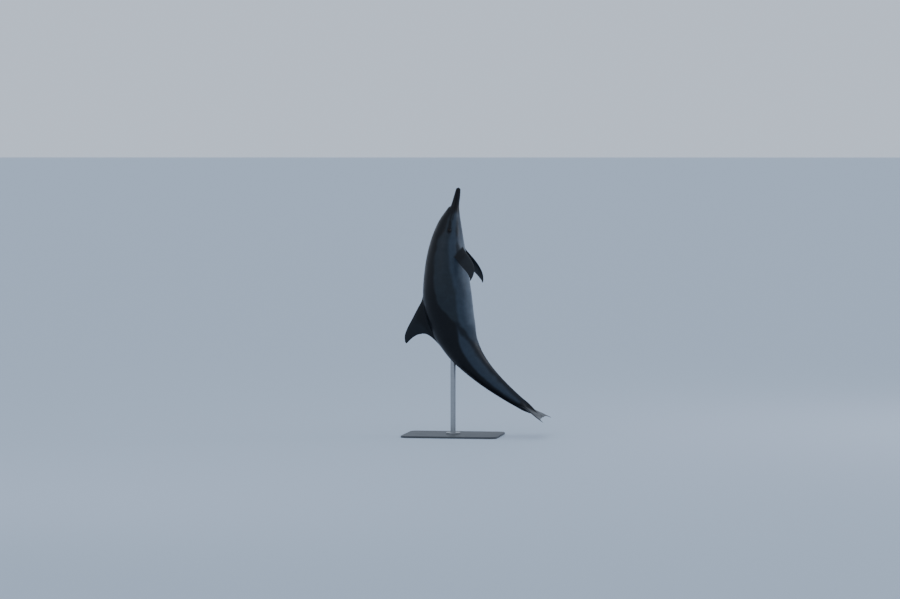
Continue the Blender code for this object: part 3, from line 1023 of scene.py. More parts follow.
@dataclass(frozen=True)
class TailBlade:
    """Both flukes: the stock's last ring sweeps out and back to their rear edge."""

    # Half width of the outline at a station, and the rear edge at a share of the span.
    width: Curve = Curve(
        (0.885, 0.0152), (0.900, 0.0158), (0.912, 0.0178), (0.924, 0.0234),
        (0.937, 0.0338), (0.953, 0.0520), (0.968, 0.0700), (0.983, 0.0885),
        (1.000, 0.1050), (1.012, 0.1132), (1.021, 0.1170), (1.0265, 0.1180),
    )
    rear: Curve = Curve(
        (0.00, 0.9980), (0.03, 1.0010), (0.07, 1.0066), (0.14, 1.0090), (0.40, 1.0075),
        (0.65, 1.0090), (0.85, 1.0155), (1.00, 1.0265),
    )
    thickness: Curve = Curve((0.00, 0.0125), (0.50, 0.0070), (1.00, 0.0016))
    lens: float = 0.30  # how far the section leans to a lens with blunt edges
    edge: float = 0.5 * MM  # half the thickness of the rear edge
    keel_width: float = 17.0 * MM
    keel_end: float = 0.940
    sink_start: float = 0.910  # the stock's depth sinks into the blade from here
    width_ease: float = 0.030  # stations over which the blade's width takes over
    blade_ease: float = 0.045  # and over which it gains its thickness
    edge_from: float = 0.9  # share of the way back where the rear edge starts to thicken
    edge_map: tuple[float, float] = (0.991, 0.997)  # the rear edge's strip of the map
    rings: int = 52

    def outline(self, body: Body, station: Values) -> np.ndarray:
        """Half width of the blade, eased out of the body's own.

        Args:
            body: the body.
            station: places along the spine.

        Returns:
            Half widths in metres.
        """
        ease = 1.0 - fade(body.tube_end, body.tube_end + self.width_ease, station)
        own = self.width(station)
        return (own + (body.flank(station) - own) * ease) * LENGTH

    def height(self, body: Body, station: np.ndarray, aside: np.ndarray) -> np.ndarray:
        """Half the thickness of the blade and the keel that dies out on it.

        Args:
            body: the body, which gives the stock its depth.
            station: places along the spine.
            aside: distances from the middle, in metres.

        Returns:
            Heights over the middle level, in metres.
        """
        fine = np.linspace(body.tube_end, self.width.places[-1], 600)
        span = np.abs(aside) / (self.width.values[-1] * LENGTH)
        lead = np.interp(np.abs(aside), self.outline(body, fine), fine)
        rear = self.rear(span)
        share = np.clip((station - lead) / np.maximum(rear - lead, 1e-5), 0.0, 1.0)
        blade = blade_section(share, self.lens) * self.thickness(span) * LENGTH / 2.0
        blade = blade * fade(body.tube_end, body.tube_end + self.blade_ease, station)
        depth = body.section(station)[1]
        across = np.clip(np.abs(aside) / self.outline(body, station), 0.0, 1.0)
        turns = np.linspace(0.0, math.pi / 2.0, 200)
        narrowed = np.sin(turns) * (1.0 - body.keel(body.tube_end) * np.cos(turns) ** 2)
        tube = np.interp(across, narrowed, np.cos(turns))
        keel = hump(aside, self.keel_width)
        flat = fade(body.tube_end, self.keel_end, station)
        sunk = (station - self.sink_start) / (rear - self.sink_start)
        sink = np.sqrt(1.0 - np.clip(sunk, 0.0, 1.0) ** 2)
        stock = depth * ((1.0 - flat) * tube + flat * keel) * sink
        return np.sqrt(blade**2 + stock**2)

    def attach(self, grid: BodyGrid) -> None:
        """Carry the body's last ring out to the flukes and close it behind them.

        Args:
            grid: the body's grid, whose last ring lies at the end of its tube.
        """
        body, start = grid.body, grid.body.tube_end
        columns = np.arange(-grid.half, grid.half)
        last = np.full(len(columns), len(grid.stations) - 1)
        turns = grid.turn(last, columns)
        across = body.skin(start + 0.0 * turns, turns)[:, 1]
        across = across / (float(body.flank(start)) * LENGTH)
        even = FULL_TURN * columns / grid.lines
        notch, tip = float(self.rear(0.0)), float(self.rear(1.0))
        places = self.mapped(grid, start, turns)
        sleeve = Sleeve(grid.mesh, grid.number(last, columns), places)
        for part in np.arange(1, self.rings + 1) / self.rings:
            share = across + (np.sin(even) - across) * part
            bow = (self.rear(np.abs(share)) - notch) / (tip - notch)
            station = start + (notch - start + (tip - notch) * bow) * part
            aside = share * self.outline(body, start + (tip - start) * part)
            edge = self.edge * fade(self.edge_from, 1.0, part)
            lift = np.maximum(self.height(body, station, aside), edge)
            upright = np.where(np.abs(np.cos(even)) < 1e-9, 0.0, np.sign(np.cos(even)))
            above = body.section(station)[0] + upright * lift
            turned = turns + (even - turns) * part
            places = self.mapped(grid, start + (1.0 - start) * part, turned)
            sleeve.grow(np.column_stack([station * LENGTH, aside, above]), places)
        self.close(grid, sleeve.numbers)

    def mapped(self, grid: BodyGrid, station: float, turns: np.ndarray) -> np.ndarray:
        """Map places of a ring, with its end on the far side of the map's seam."""
        return grid.map_place(station, np.append(turns, math.pi))

    def close(self, grid: BodyGrid, numbers: np.ndarray) -> None:
        """Join the upper and lower halves of the last ring along the rear edge.

        Args:
            grid: the body's grid.
            numbers: vertex numbers of the ring, from one side of the belly line.
        """
        half, quarter = grid.half, grid.half // 2
        for column in range(-quarter, quarter):
            corners = [column, column + 1, half - column - 1, half - column]
            corners = [int(numbers[(corner + half) % grid.lines]) for corner in corners]
            corners = np.array(list(dict.fromkeys(corners)))
            turns = FULL_TURN * np.array([column, column + 1]) / grid.lines
            low, high = grid.map_place(1.0, turns)[:, 1]
            front, rear = self.edge_map
            places = [(front, low), (front, high), (rear, high), (rear, low)]
            grid.mesh.add_faces(corners[None], np.array(places[:len(corners)]))


# ---- openings in the skin


@dataclass(frozen=True)
class LocalFrame:
    """Flat axes on the skin round one place, and how to read them as station and turn."""

    body: Body
    station: float
    turn: float

    @property
    def middle(self) -> np.ndarray:
        """Straight point of the skin in the middle."""
        return self.body.outline(self.station, self.turn)

    @property
    def axes(self) -> np.ndarray:
        """Directions towards the tail, round the body with the turn, and outward.

        Returns:
            One direction a row.
        """
        along, around = self.body.slopes(self.station, self.turn)
        along, outward = unit(along), unit(np.cross(along, around))
        return np.stack([along, np.cross(outward, along), outward])

    def spot(self, flat: np.ndarray) -> tuple[np.ndarray, np.ndarray]:
        """Station and turn of flat offsets.

        Args:
            flat: offsets in metres, towards the tail and round the body.

        Returns:
            Stations and turns.
        """
        slopes = self.body.slopes(self.station, self.turn)
        solve = np.linalg.inv(self.axes[:2] @ np.stack(slopes, axis=1))
        steps = flat @ solve.T
        return self.station + steps[:, 0], self.turn + steps[:, 1]


@dataclass(frozen=True)
class Slit:
    """A shallow opening in the skin: a thin line with soft lips that runs inwards."""

    station: float
    turn: float
    length: float
    width: float
    depth: float
    across: bool = False  # runs round the body, not along it
    curl: float = 0.0  # how far its middle lies behind its ends
    lip: float = 0.5 * MM
    margin: float = 9.0 * MM
    rings: int = 6
    outer: float = 2.2 * MM  # from the slit to the last ring that lies flat
    bottom: float = 0.2 * MM  # how much deeper its last point lies
    # Rings from the lip to the bottom: metres outside the slit, share of its width, how
    # far down as shares of the lip and of the depth, and how much painted shade darkens them, 1
    # deep inside.
    profile: tuple[tuple[float, float, float, float, float], ...] = (
        (1.1 * MM, 1.0, -1.0, 0.0, 0.0), (0.35 * MM, 1.0, -0.6, 0.0, 0.2),
        (0.0, 1.0, 0.0, 0.25, 0.7), (0.0, 0.7, 0.0, 0.6, 1.0),
        (-0.02 * MM, 0.4, 0.0, 0.9, 1.0), (-0.05 * MM, 0.15, 0.0, 1.0, 1.0),
    )

    def patch(self, grid: BodyGrid) -> Patch:
        """Leave room for the slit in the grid.

        Args:
            grid: the body's grid.

        Returns:
            The loop round it.
        """
        sizes = [self.length / 2.0 + self.margin, self.margin]
        if self.across:
            sizes = [self.margin + self.curl, sizes[0]]
        return grid.open_patch(self.station, self.turn, *sizes)

    def line(self, around: np.ndarray, grow: float, narrow: float = 1.0) -> np.ndarray:
        """Loop round the slit.

        Args:
            around: places round the slit, 0 and one half at its ends.
            grow: how far outside the slit the loop runs.
            narrow: share of the slit's width that it keeps.

        Returns:
            Flat offsets towards the tail and round the body, in metres.
        """
        run = -np.cos(FULL_TURN * around)
        thick = np.abs(np.sin(FULL_TURN * around)) * self.width / 2.0 * narrow + grow
        side = np.sign(np.sin(FULL_TURN * around)) * thick
        side = np.where(np.abs(np.sin(FULL_TURN * around)) < 1e-6, 0.0, side)
        main = run * (self.length / 2.0 + grow)
        if self.across:
            return np.column_stack([side + self.curl * (1.0 - run**2), main])
        return np.column_stack([main, side])

    def attach(self, grid: BodyGrid) -> None:
        """Open a patch of the body and fill it with skin that runs into the slit.

        Args:
            grid: the body's grid.
        """
        body, frame = grid.body, LocalFrame(grid.body, self.station, self.turn)

        def beside(way: np.ndarray) -> np.ndarray:
            """Straight points of a loop just outside the slit."""
            return body.skin(*frame.spot(self.line(way, self.outer)))

        main = -frame.axes[int(self.across)]
        patch, around = line_up(self.patch(grid), body, main, beside)
        edge = frame.spot(self.line(around, self.outer))
        places = [
            (patch.station + (edge[0] - patch.station) * share,
             patch.turn + (edge[1] - patch.turn) * share, 0.0, 0.0)
            for share in np.arange(1, self.rings + 1) / self.rings
        ]
        # Painted shade darkens the rings that run down into the slit.
        for grow, narrow, lip, deep, fold_shade in self.profile:
            drop = lip * self.lip + deep * self.depth
            places.append((*frame.spot(self.line(around, grow, narrow)), drop, fold_shade))
        sleeve = grid.sleeve(patch)
        for station, turn, drop, fold_shade in places:
            points = body.skin(station, turn) - body.normal(station, turn) * drop
            sleeve.grow(points, grid.loop_map(station, turn), painted_fold_shade=fold_shade)
        sleeve.cap(-frame.axes[2] * self.bottom)


@dataclass(frozen=True)
class Eye:
    """Where an eyeball sits, and the lids that close round it."""

    side: Side
    station: float = 0.1615
    rise: float = 0.0015
    radius: float = 14.5 * MM
    set_in: float = 12.6 * MM
    half_length: float = 12.2 * MM
    upper_height: float = 7.2 * MM
    lower_height: float = 6.4 * MM
    corner_dip: float = 0.9 * MM  # how far the front corner lies below the rear one
    lid: float = 2.1 * MM
    lid_blend: float = 3.0 * MM  # how softly the lids rise out of the head
    lid_shade: float = 0.35  # share of full painted shade that darkens the lids' rim
    lid_share: float = 0.9  # share of the way to the opening where the rim starts
    corner_sharpness: float = 1.25
    outer: float = 1.2 * MM  # from the opening to the last ring on the skin
    bottom: float = 0.3 * MM  # how much deeper the socket's last point lies
    clearance: float = 0.4 * MM
    reach: float = 27.0 * MM
    # Creases round the lids: 1 above or -1 below the eye, and in millimetres how far
    # from the opening, how wide and how deep.
    folds: tuple[tuple[int, float, float, float], ...] = (
        (1, 4.6, 1.0, 0.75), (1, 8.8, 1.5, 0.35), (-1, 4.2, 1.2, 0.40), (-1, 8.5, 1.8, 0.22),
    )
    # Rings over the lids' edge: in millimetres how far outside the opening and how far
    # off the ball, and how much painted shade darkens them, 1 at its darkest.
    lid_edge: tuple[tuple[float, float, float], ...] = (
        (0.55, 1.75, 0.6), (0.1, 1.1, 0.9), (0.0, 0.35, 1.0),
    )
    rings: int = 22
    socket_rings: int = 9
    ball_rings: int = 40
    ball_segments: int = 64
    bulge: float = 0.35 * MM  # how far the cornea stands out of the ball
    bulge_width: float = 0.42  # how far from its middle it dies out, in radians

    def frame(self, body: Body) -> LocalFrame:
        """Flat axes over the eye."""
        turn = float(body.turn_at(self.station, self.rise))
        return LocalFrame(body, self.station, self.side.value * turn)

    def axes(self, body: Body) -> np.ndarray:
        """Directions towards the tail, up the head and out of it, one a row."""
        return self.frame(body).axes * np.array([[1.0], [-self.side.value], [1.0]])

    def centre(self, body: Body) -> np.ndarray:
        """Middle of the eyeball.

        Args:
            body: the body it sits in.

        Returns:
            A straight point.
        """
        aside = float(body.flank(self.station)) * LENGTH - self.set_in
        place = (self.station * LENGTH, self.side.value * aside, self.rise * LENGTH)
        return np.array(place)

    def opening(self, around: np.ndarray, grow: float) -> np.ndarray:
        """Outline between the lids.

        Args:
            around: places round the eye, 0 at the front corner.
            grow: how far outside the opening the outline runs.

        Returns:
            Flat offsets towards the tail and up the head, in metres.
        """
        run = -np.cos(FULL_TURN * around)
        lift = np.sin(FULL_TURN * around)
        height = np.where(lift > 0.0, self.upper_height, self.lower_height)
        shape = signed_power(lift, self.corner_sharpness) * (height + grow)
        dip = self.corner_dip * run**2 * np.sign(-run)
        return np.column_stack([run * (self.half_length + grow), shape + dip])

    def patch(self, grid: BodyGrid) -> Patch:
        """Leave room for the lids in the grid."""
        turn = self.frame(grid.body).turn
        return grid.open_patch(self.station, turn, self.reach, 0.85 * self.reach)

    def attach(self, grid: BodyGrid) -> None:
        """Open a patch of the head, fill it with lids and line the socket behind them.

        Args:
            grid: the body's grid.
        """
        body, frame = grid.body, self.frame(grid.body)
        centre, axes = self.centre(body), self.axes(body)
        shift = (centre - frame.middle) @ axes[:2].T

        def on_skin(flat: np.ndarray) -> tuple[np.ndarray, np.ndarray]:
            """Station and turn of offsets from the eyeball's axis."""
            return frame.spot((flat + shift) * np.array([1.0, -self.side.value]))

        def beside(way: np.ndarray) -> np.ndarray:
            """Straight points of a loop just outside the lids."""
            return body.skin(*on_skin(self.opening(way, self.outer)))

        patch, around = line_up(self.patch(grid), body, -axes[0], beside)
        edge = on_skin(self.opening(around, self.outer))
        sleeve = grid.sleeve(patch)
        for part in np.arange(1, self.rings + 1) / self.rings:
            share = 1.0 - (1.0 - part) ** 1.5
            station = patch.station + (edge[0] - patch.station) * share
            turn = patch.turn + (edge[1] - patch.turn) * share
            skin = self.over_eye(body.skin(station, turn), centre, axes, around)
            # Painted shade darkens the lids towards their rim.
            fold_shade = self.lid_shade * fade(self.lid_share, 1.0, share)
            sleeve.grow(skin, grid.loop_map(station, turn), painted_fold_shade=fold_shade)
        rim = self.radius + self.clearance
        # Painted shade darkens the lids' edge still more, near black at the ball.
        for grow, lift, fold_shade in self.lid_edge:
            flat = self.opening(around, grow * MM)
            height = np.sqrt((rim + lift * MM) ** 2 - (flat**2).sum(axis=1))
            points = centre + np.column_stack([flat, height]) @ axes
            sleeve.grow(points, grid.loop_map(*on_skin(flat * 0.9)), painted_fold_shade=fold_shade)
        flat = self.opening(around, 0.0)
        distance = np.linalg.norm(flat, axis=1, keepdims=True)
        start = np.arcsin(np.clip(distance / rim, 0.0, 1.0))
        # The socket behind the ball is lined with full painted shade.
        for share in np.arange(1, self.socket_rings) / self.socket_rings:
            angle = start + (math.pi - start) * share
            spread = np.column_stack([np.sin(angle) * flat / distance, np.cos(angle)])
            places = grid.loop_map(*on_skin(flat * 0.85 * (1.0 - share)))
            sleeve.grow(centre + rim * spread @ axes, places, painted_fold_shade=1.0)
        sleeve.cap(-axes[2] * self.bottom)

    def over_eye(self, skin: np.ndarray, centre: np.ndarray, axes: np.ndarray,
                 around: np.ndarray) -> np.ndarray:
        """Lift skin over the eyeball, and press the lids' folds into it.

        Args:
            skin: straight points of the skin.
            centre: middle of the eyeball.
            axes: directions towards the tail, up the head and out of it.
            around: where each point is round the eye.

        Returns:
            The moved points.
        """
        offset = (skin - centre) @ axes.T
        flat, height = offset[:, :2], offset[:, 2]
        shell = self.radius + self.clearance + self.lid
        dome = np.sqrt(np.clip(shell**2 - (flat**2).sum(axis=1), 0.0, None))
        raised = smooth_most(height, dome, self.lid_blend)
        away = np.linalg.norm(flat - self.opening(around, 0.0), axis=1)
        lift = np.sin(FULL_TURN * around)
        for lids, place, width, depth in self.folds:
            strength = np.clip(lids * lift, 0.0, 1.0) ** 0.7
            raised = raised - strength * depth * MM * hump(away - place * MM, width * MM)
        return skin + (raised - height)[:, None] * axes[2]

    def ball(self, body: Body) -> tuple[np.ndarray, list[list[int]], np.ndarray]:
        """Shape of the eyeball, with its bulging cornea.

        Args:
            body: the body it sits in.

        Returns:
            Straight points, faces, and how far each point looks away from the middle of
            the iris, towards the tail and up the head.
        """
        rings, count = self.ball_rings, self.ball_segments
        angle, turn = np.meshgrid(
            math.pi * np.arange(1, rings) / rings, FULL_TURN * np.arange(count) / count,
            indexing="ij",
        )
        angle = np.concatenate([[0.0], angle.ravel(), [math.pi]])[:, None]
        turn = np.concatenate([[0.0], turn.ravel(), [0.0]])
        spread = np.column_stack([np.cos(turn), np.sin(turn)])
        radius = self.radius + self.bulge * np.exp(-((angle / self.bulge_width) ** 2))
        flat = np.column_stack([np.sin(angle) * spread, np.cos(angle)])
        points = self.centre(body) + radius * flat @ self.axes(body)
        away = np.where(angle < math.pi / 2.0, np.sin(angle), 2.0 - np.sin(angle))
        gaze = np.column_stack([away * spread, 0.0 * away])
        first = [[1 + k, 1 + (k + 1) % count] for k in range(count)]
        faces = [[0, a, b] for a, b in first]
        for step in np.arange(rings - 2) * count:
            faces += [[int(v + step) for v in (a, a + count, b + count, b)] for a, b in first]
        step, last = (rings - 2) * count, len(points) - 1
        faces += [[a + step, last, b + step] for a, b in first]
        return points, faces, gaze


# ---- markings


@dataclass(frozen=True)
class Line:
    """A stripe on the flank: where its middle runs, and its half width in metres."""

    middle: Curve
    half_width: Curve

    def depth_in(self, station: np.ndarray, rise: np.ndarray) -> np.ndarray:
        """How deep places lie inside the stripe, in metres; below zero outside it."""
        return self.half_width(station) - np.abs(rise - self.middle(station)) * LENGTH


@dataclass(frozen=True)
class Markings:
    """The hourglass pattern of a common dolphin, as levels along the flank.

    Levels are fractions of the animal's length above the spine.
    """

    cape_edge: Curve = Curve(
        (0.060, -0.0060), (0.085, 0.0060), (0.110, 0.0120), (0.140, 0.0150),
        (0.165, 0.0190), (0.180, 0.0270), (0.195, 0.0345), (0.220, 0.0395),
        (0.250, 0.0410), (0.300, 0.0430), (0.350, 0.0425), (0.400, 0.0375),
        (0.430, 0.0320), (0.450, 0.0220), (0.470, 0.0095), (0.485, 0.0000),
        (0.500, -0.0100), (0.520, -0.0140), (0.545, -0.0120), (0.565, -0.0080),
        (0.585, -0.0010), (0.610, 0.0025), (0.660, 0.0065), (0.720, 0.0090),
        (0.900, 0.0060), (1.000, 0.0020),
    )
    belly_edge: Curve = Curve(
        (0.000, -0.0110), (0.060, -0.0095), (0.085, -0.0090), (0.100, -0.0045),
        (0.130, -0.0040), (0.160, -0.0090), (0.200, -0.0050), (0.250, -0.0110),
        (0.300, -0.0170), (0.350, -0.0280), (0.400, -0.0370), (0.450, -0.0350),
        (0.500, -0.0310), (0.525, -0.0310), (0.545, -0.0400), (0.580, -0.0470),
        (0.610, -0.0510), (0.650, -0.0580), (0.720, -0.0650), (1.000, -0.0650),
    )
    flank: Line = Line(
        Curve((0.520, -0.0170), (0.600, -0.0160), (0.680, -0.0130), (0.800, -0.0060),
              (0.920, -0.0030)),
        Curve((0.500, -0.0300), (0.540, -0.0040), (0.560, 0.0100), (0.580, 0.0235),
              (0.600, 0.0320), (0.640, 0.0380), (0.700, 0.0370), (0.800, 0.0270),
              (0.880, 0.0130), (0.940, -0.0200)),
    )
    eye_line: Line = Line(
        Curve((0.080, 0.0040), (0.120, 0.0050), (0.140, 0.0030), (0.163, 0.0010)),
        Curve((0.066, -0.0200), (0.080, 0.0030), (0.100, 0.0070), (0.120, 0.0095),
              (0.140, 0.0095), (0.155, 0.0130), (0.163, 0.0155), (0.170, 0.0110),
              (0.177, -0.0060), (0.200, -0.0500)),
    )
    flipper_line: Line = Line(
        Curve((0.110, -0.0170), (0.140, -0.0235), (0.175, -0.0290), (0.205, -0.0350),
              (0.240, -0.0460)),
        Curve((0.095, -0.0200), (0.115, 0.0010), (0.150, 0.0025), (0.190, 0.0050),
              (0.215, 0.0120), (0.250, 0.0200), (0.290, -0.0100), (0.330, -0.0500)),
    )
    beak_end: float = 0.088
    saddle_tip: float = 0.505  # the thorax's colour ends below the saddle's tip
    fluke_start: float = 0.935
    stock_width: float = 30.0 * MM
    fluke_from: tuple[float, float] = (0.86, 0.91)  # nothing ahead of these is fluke
    fluke_round: float = 20.0 * MM  # how softly its edge turns its corner

    def fields(self, straight: np.ndarray) -> dict[str, np.ndarray]:
        """How deep each vertex lies inside each marking.

        Args:
            straight: straight points of the skin.

        Returns:
            One array a marking, in metres, below zero outside it.
        """
        station, rise = straight[:, 0] / LENGTH, straight[:, 2] / LENGTH
        nudge = 0.002
        slope = (self.cape_edge(station + nudge) - self.cape_edge(station - nudge)) / (2 * nudge)
        lean = np.sqrt(1.0 + slope**2)
        return {
            "cape": (rise - self.cape_edge(station)) * LENGTH / lean,
            "belly": (self.belly_edge(station) - rise) * LENGTH,
            "flank": self.flank.depth_in(station, rise),
            "eye_line": self.eye_line.depth_in(station, rise),
            "flipper_line": self.flipper_line.depth_in(station, rise),
            "beak": (self.beak_end - station) * LENGTH,
            "behind": (station - self.saddle_tip) * LENGTH,
            "fluke": self.fluke_depth(station, straight[:, 1]),
        }

    def fluke_depth(self, station: np.ndarray, aside: np.ndarray) -> np.ndarray:
        """How deep places lie inside the flukes' own colour, in metres."""
        out = np.abs(aside) - self.stock_width - (1.0 - fade(*self.fluke_from, station))
        return smooth_most(out, (station - self.fluke_start) * LENGTH, self.fluke_round)


# ---- materials


def linear(code: str) -> tuple[float, float, float, float]:
    """Turn an sRGB hex colour to linear light.

    Args:
        code: six hex digits after a #.

    Returns:
        Red, green, blue and full opacity.
    """
    shares = [int(code[k:k + 2], 16) / 255.0 for k in (1, 3, 5)]
    red, green, blue = (
        s / 12.92 if s <= 0.04045 else ((s + 0.055) / 1.055) ** 2.4 for s in shares
    )
    return red, green, blue, 1.0


def add_node(tree: bpy.types.NodeTree, kind: str, inputs: dict | None = None,
             out: int | str = 0, **settings: object) -> bpy.types.NodeSocket | None:
    """Add one node to a material.

    Args:
        tree: where it goes.
        kind: Blender's name for the node, after the word ShaderNode.
        inputs: sockets by name or number, each with a value or a socket to link from.
        out: which output is wanted.
        settings: the node's own settings.

    Returns:
        That output, or nothing from a node without outputs.
    """
    node = tree.nodes.new("ShaderNode" + kind)
    for name, value in settings.items():
        setattr(node, name, value)
    for name, value in (inputs or {}).items():
        if isinstance(value, bpy.types.NodeSocket):
            tree.links.new(value, node.inputs[name])
        else:
            node.inputs[name].default_value = value
    return node.outputs[out] if len(node.outputs) else None


@dataclass(frozen=True)
class Finish:
    """A surface of the real thing, made with one Principled shader."""

    name: str

    def surface(self, tree: bpy.types.NodeTree) -> dict:
        """Shader sockets by name, each with its constant or what it is linked to."""
        raise NotImplementedError

    def build(self) -> bpy.types.Material:
        """Make the material.

        Returns:
            The material.
        """
        material = bpy.data.materials.new(self.name)
        material.use_nodes = True
        tree = material.node_tree
        tree.nodes.clear()
        shader = add_node(tree, "BsdfPrincipled", self.surface(tree))
        add_node(tree, "OutputMaterial", {"Surface": shader})
        return material


@dataclass(frozen=True)
class Marking:
    """One colour of the coat, or the painted shade of folds and openings, laid over those before
    it.
    """

    field: str  # the stored depth it follows, in metres
    low: float  # depth at which it starts to show
    high: float  # depth at which it shows fully
    tint: str
    cover: float = 1.0


@dataclass(frozen=True)
class WetSkin(Finish):
    """Living dolphin skin, rubbery and wet: a thin film of water over smooth dark skin.

    The film gives a tight highlight over the softer sheen of the skin itself.
    """

    name: str = "wet_dolphin_skin"
    # Painted shade: the chest, flank and belly tints are the pattern's own, darkened and cooled
    # to the shade the animal stands in; in daylight the chest patch is tan, the flank patch grey
    # and the belly near white.
    thorax: str = "#22292f"
    pale: str = "#5f6463"  # of healed scratches
    markings: tuple[Marking, ...] = (
        Marking("behind", -30.0 * MM, 30.0 * MM, "#151a21"),
        # Flank patch and belly, in tints darkened as painted shade.
        Marking("flank", -16.0 * MM, 14.0 * MM, "#2f3843"),
        Marking("belly", -16.0 * MM, 14.0 * MM, "#303a45"),
        Marking("belly", 35.0 * MM, 115.0 * MM, "#58626d"),
        Marking("cape", -14.0 * MM, 12.0 * MM, "#0a0c10"),
        Marking("flipper_line", -10.0 * MM, 9.0 * MM, "#0b0e13", 0.75),
        Marking("eye_line", -7.0 * MM, 6.0 * MM, "#090b0f", 0.95),
        Marking("beak", -30.0 * MM, 18.0 * MM, "#0a0c11", 0.95),
        Marking("outward", -18.0 * MM, 10.0 * MM, "#0c0f13"),
        Marking("fluke", -16.0 * MM, 12.0 * MM, "#0c0f13"),
        Marking("outward", 60.0 * MM, 110.0 * MM, "#1f262b", 0.45),
        # Painted shade: near black deep in the mouth's line, the slits, the socket and along the
        # lids' rim.
        Marking("painted_fold_shade", 0.05, 0.95, "#060607"),
    )
    # Noises by name: the size of their features, their detail and their roughness.
    noises: tuple[tuple[str, float, float, float], ...] = (
        ("wander", 70.0 * MM, 1.0, 0.50), ("specks", 5.0 * MM, 2.0, 0.60),
        ("mottle", 45.0 * MM, 6.0, 0.62), ("patches", 160.0 * MM, 1.0, 0.50),
        ("damp", 60.0 * MM, 2.0, 0.50), ("ripple", 35.0 * MM, 3.0, 0.50),
    )
    wander: float = 26.0 * MM  # how far the markings' edges wander in all
    fray: float = 7.0 * MM  # how far specks break them up
    centring: float = -16.5 * MM  # brings both back to the edge on average
    mottling: tuple[float, float] = (0.82, 1.16)
    roughness: tuple[float, float] = (0.32, 0.52)
    film: float = 0.14
    film_roughness: float = 0.14
    skin_ior: float = 1.34
    sheen: float = 0.36  # a little under the usual 0.5, as the skin drinks up light
    water_ior: float = 1.33
    swell: float = 1.2 * MM  # depth of the broad ripples
    # Real skin ridges are 0.5 mm apart, too fine to show, so they are drawn 5 mm apart.
    ridge: float = 0.25 * MM
    relief: float = 0.45  # strength of both
    # Rake marks for each metre along and across the body: 4 mm apart, 125 mm long.
    rakes: tuple[float, float, float] = (8.0, 240.0, 240.0)
    rake_slant: tuple[float, float, float] = (0.0, 0.25, 0.35)
    rake_cover: float = 0.06

    def surface(self, tree: bpy.types.NodeTree) -> dict:
        """Lay the markings and the painted shade of folds over the chest's colour, then mottle,
        scratch and wet it.

        Args:
            tree: the material's tree.

        Returns:
            The shader's sockets.
        """
        place = add_node(tree, "Attribute", out="Vector", attribute_name="straight")
        noises = {
            name: add_node(tree, "TexNoise", {
                "Vector": place, "Scale": 1.0 / size, "Detail": detail, "Roughness": rough,
            })
            for name, size, detail, rough in self.noises
        }
        edge = add_node(tree, "Math", {
            0: noises["wander"], 1: self.wander, 2: self.centring,
        }, operation="MULTIPLY_ADD")
        edge = add_node(tree, "Math", {
            0: noises["specks"], 1: self.fray, 2: edge,
        }, operation="MULTIPLY_ADD")
        colour = linear(self.thorax)
        for marking in self.markings:
            depth = add_node(tree, "Attribute", out="Fac", attribute_name=marking.field)
            depth = add_node(tree, "Math", {0: depth, 1: edge}, operation="ADD")
            share = add_node(tree, "MapRange", {
                0: depth, 1: marking.low, 2: marking.high, 3: 0.0, 4: marking.cover,
            }, interpolation_type="SMOOTHSTEP")
            colour = add_node(tree, "Mix", {
                0: share, 6: colour, 7: linear(marking.tint),
            }, out=2, data_type="RGBA")
        low, high = self.mottling
        mottle = add_node(tree, "MapRange", {
            0: noises["mottle"], 1: 0.25, 2: 0.75, 3: low, 4: high,
        })
        colour = add_node(tree, "HueSaturation", {"Value": mottle, "Color": colour})
        colour = add_node(tree, "Mix", {
            0: self.scratches(tree, place, noises["patches"]), 6: colour,
            7: linear(self.pale),
        }, out=2, data_type="RGBA")
        low, high = self.roughness
        wet = add_node(tree, "MapRange", {0: noises["damp"], 1: 0.3, 2: 0.7, 3: low, 4: high})
        broad = add_node(tree, "Bump", {
            "Height": noises["ripple"], "Distance": self.swell, "Strength": self.relief,
        })
        fine = add_node(tree, "Bump", {
            "Height": noises["specks"], "Distance": self.ridge, "Strength": self.relief,
            "Normal": broad,
        })
        return {
            "Base Color": colour, "Roughness": wet, "Normal": fine,
            "IOR": self.skin_ior, "Specular IOR Level": self.sheen,
            "Coat Weight": self.film, "Coat Roughness": self.film_roughness,
            "Coat IOR": self.water_ior,
        }

    def scratches(self, tree: bpy.types.NodeTree, place: bpy.types.NodeSocket,
                  patches: bpy.types.NodeSocket) -> bpy.types.NodeSocket:
        """Faint healed rake marks in patches along the body.

        Args:
            tree: the material's tree.
            place: where the skin is on the straight body, in metres.
            patches: noise that decides where they lie.

        Returns:
            How strongly they show.
        """
        stretched = add_node(tree, "Mapping", {
            "Vector": place, "Rotation": self.rake_slant, "Scale": self.rakes,
        })
        lines = add_node(tree, "TexNoise", {"Vector": stretched, "Scale": 1.0, "Detail": 1.0})
        thin = add_node(tree, "MapRange", {
            0: lines, 1: 0.63, 2: 0.73, 3: 0.0, 4: self.rake_cover,
        }, interpolation_type="SMOOTHSTEP")
        where = add_node(tree, "MapRange", {
            0: patches, 1: 0.50, 2: 0.62,
        }, interpolation_type="SMOOTHSTEP")
        return add_node(tree, "Math", {0: thin, 1: where}, operation="MULTIPLY")


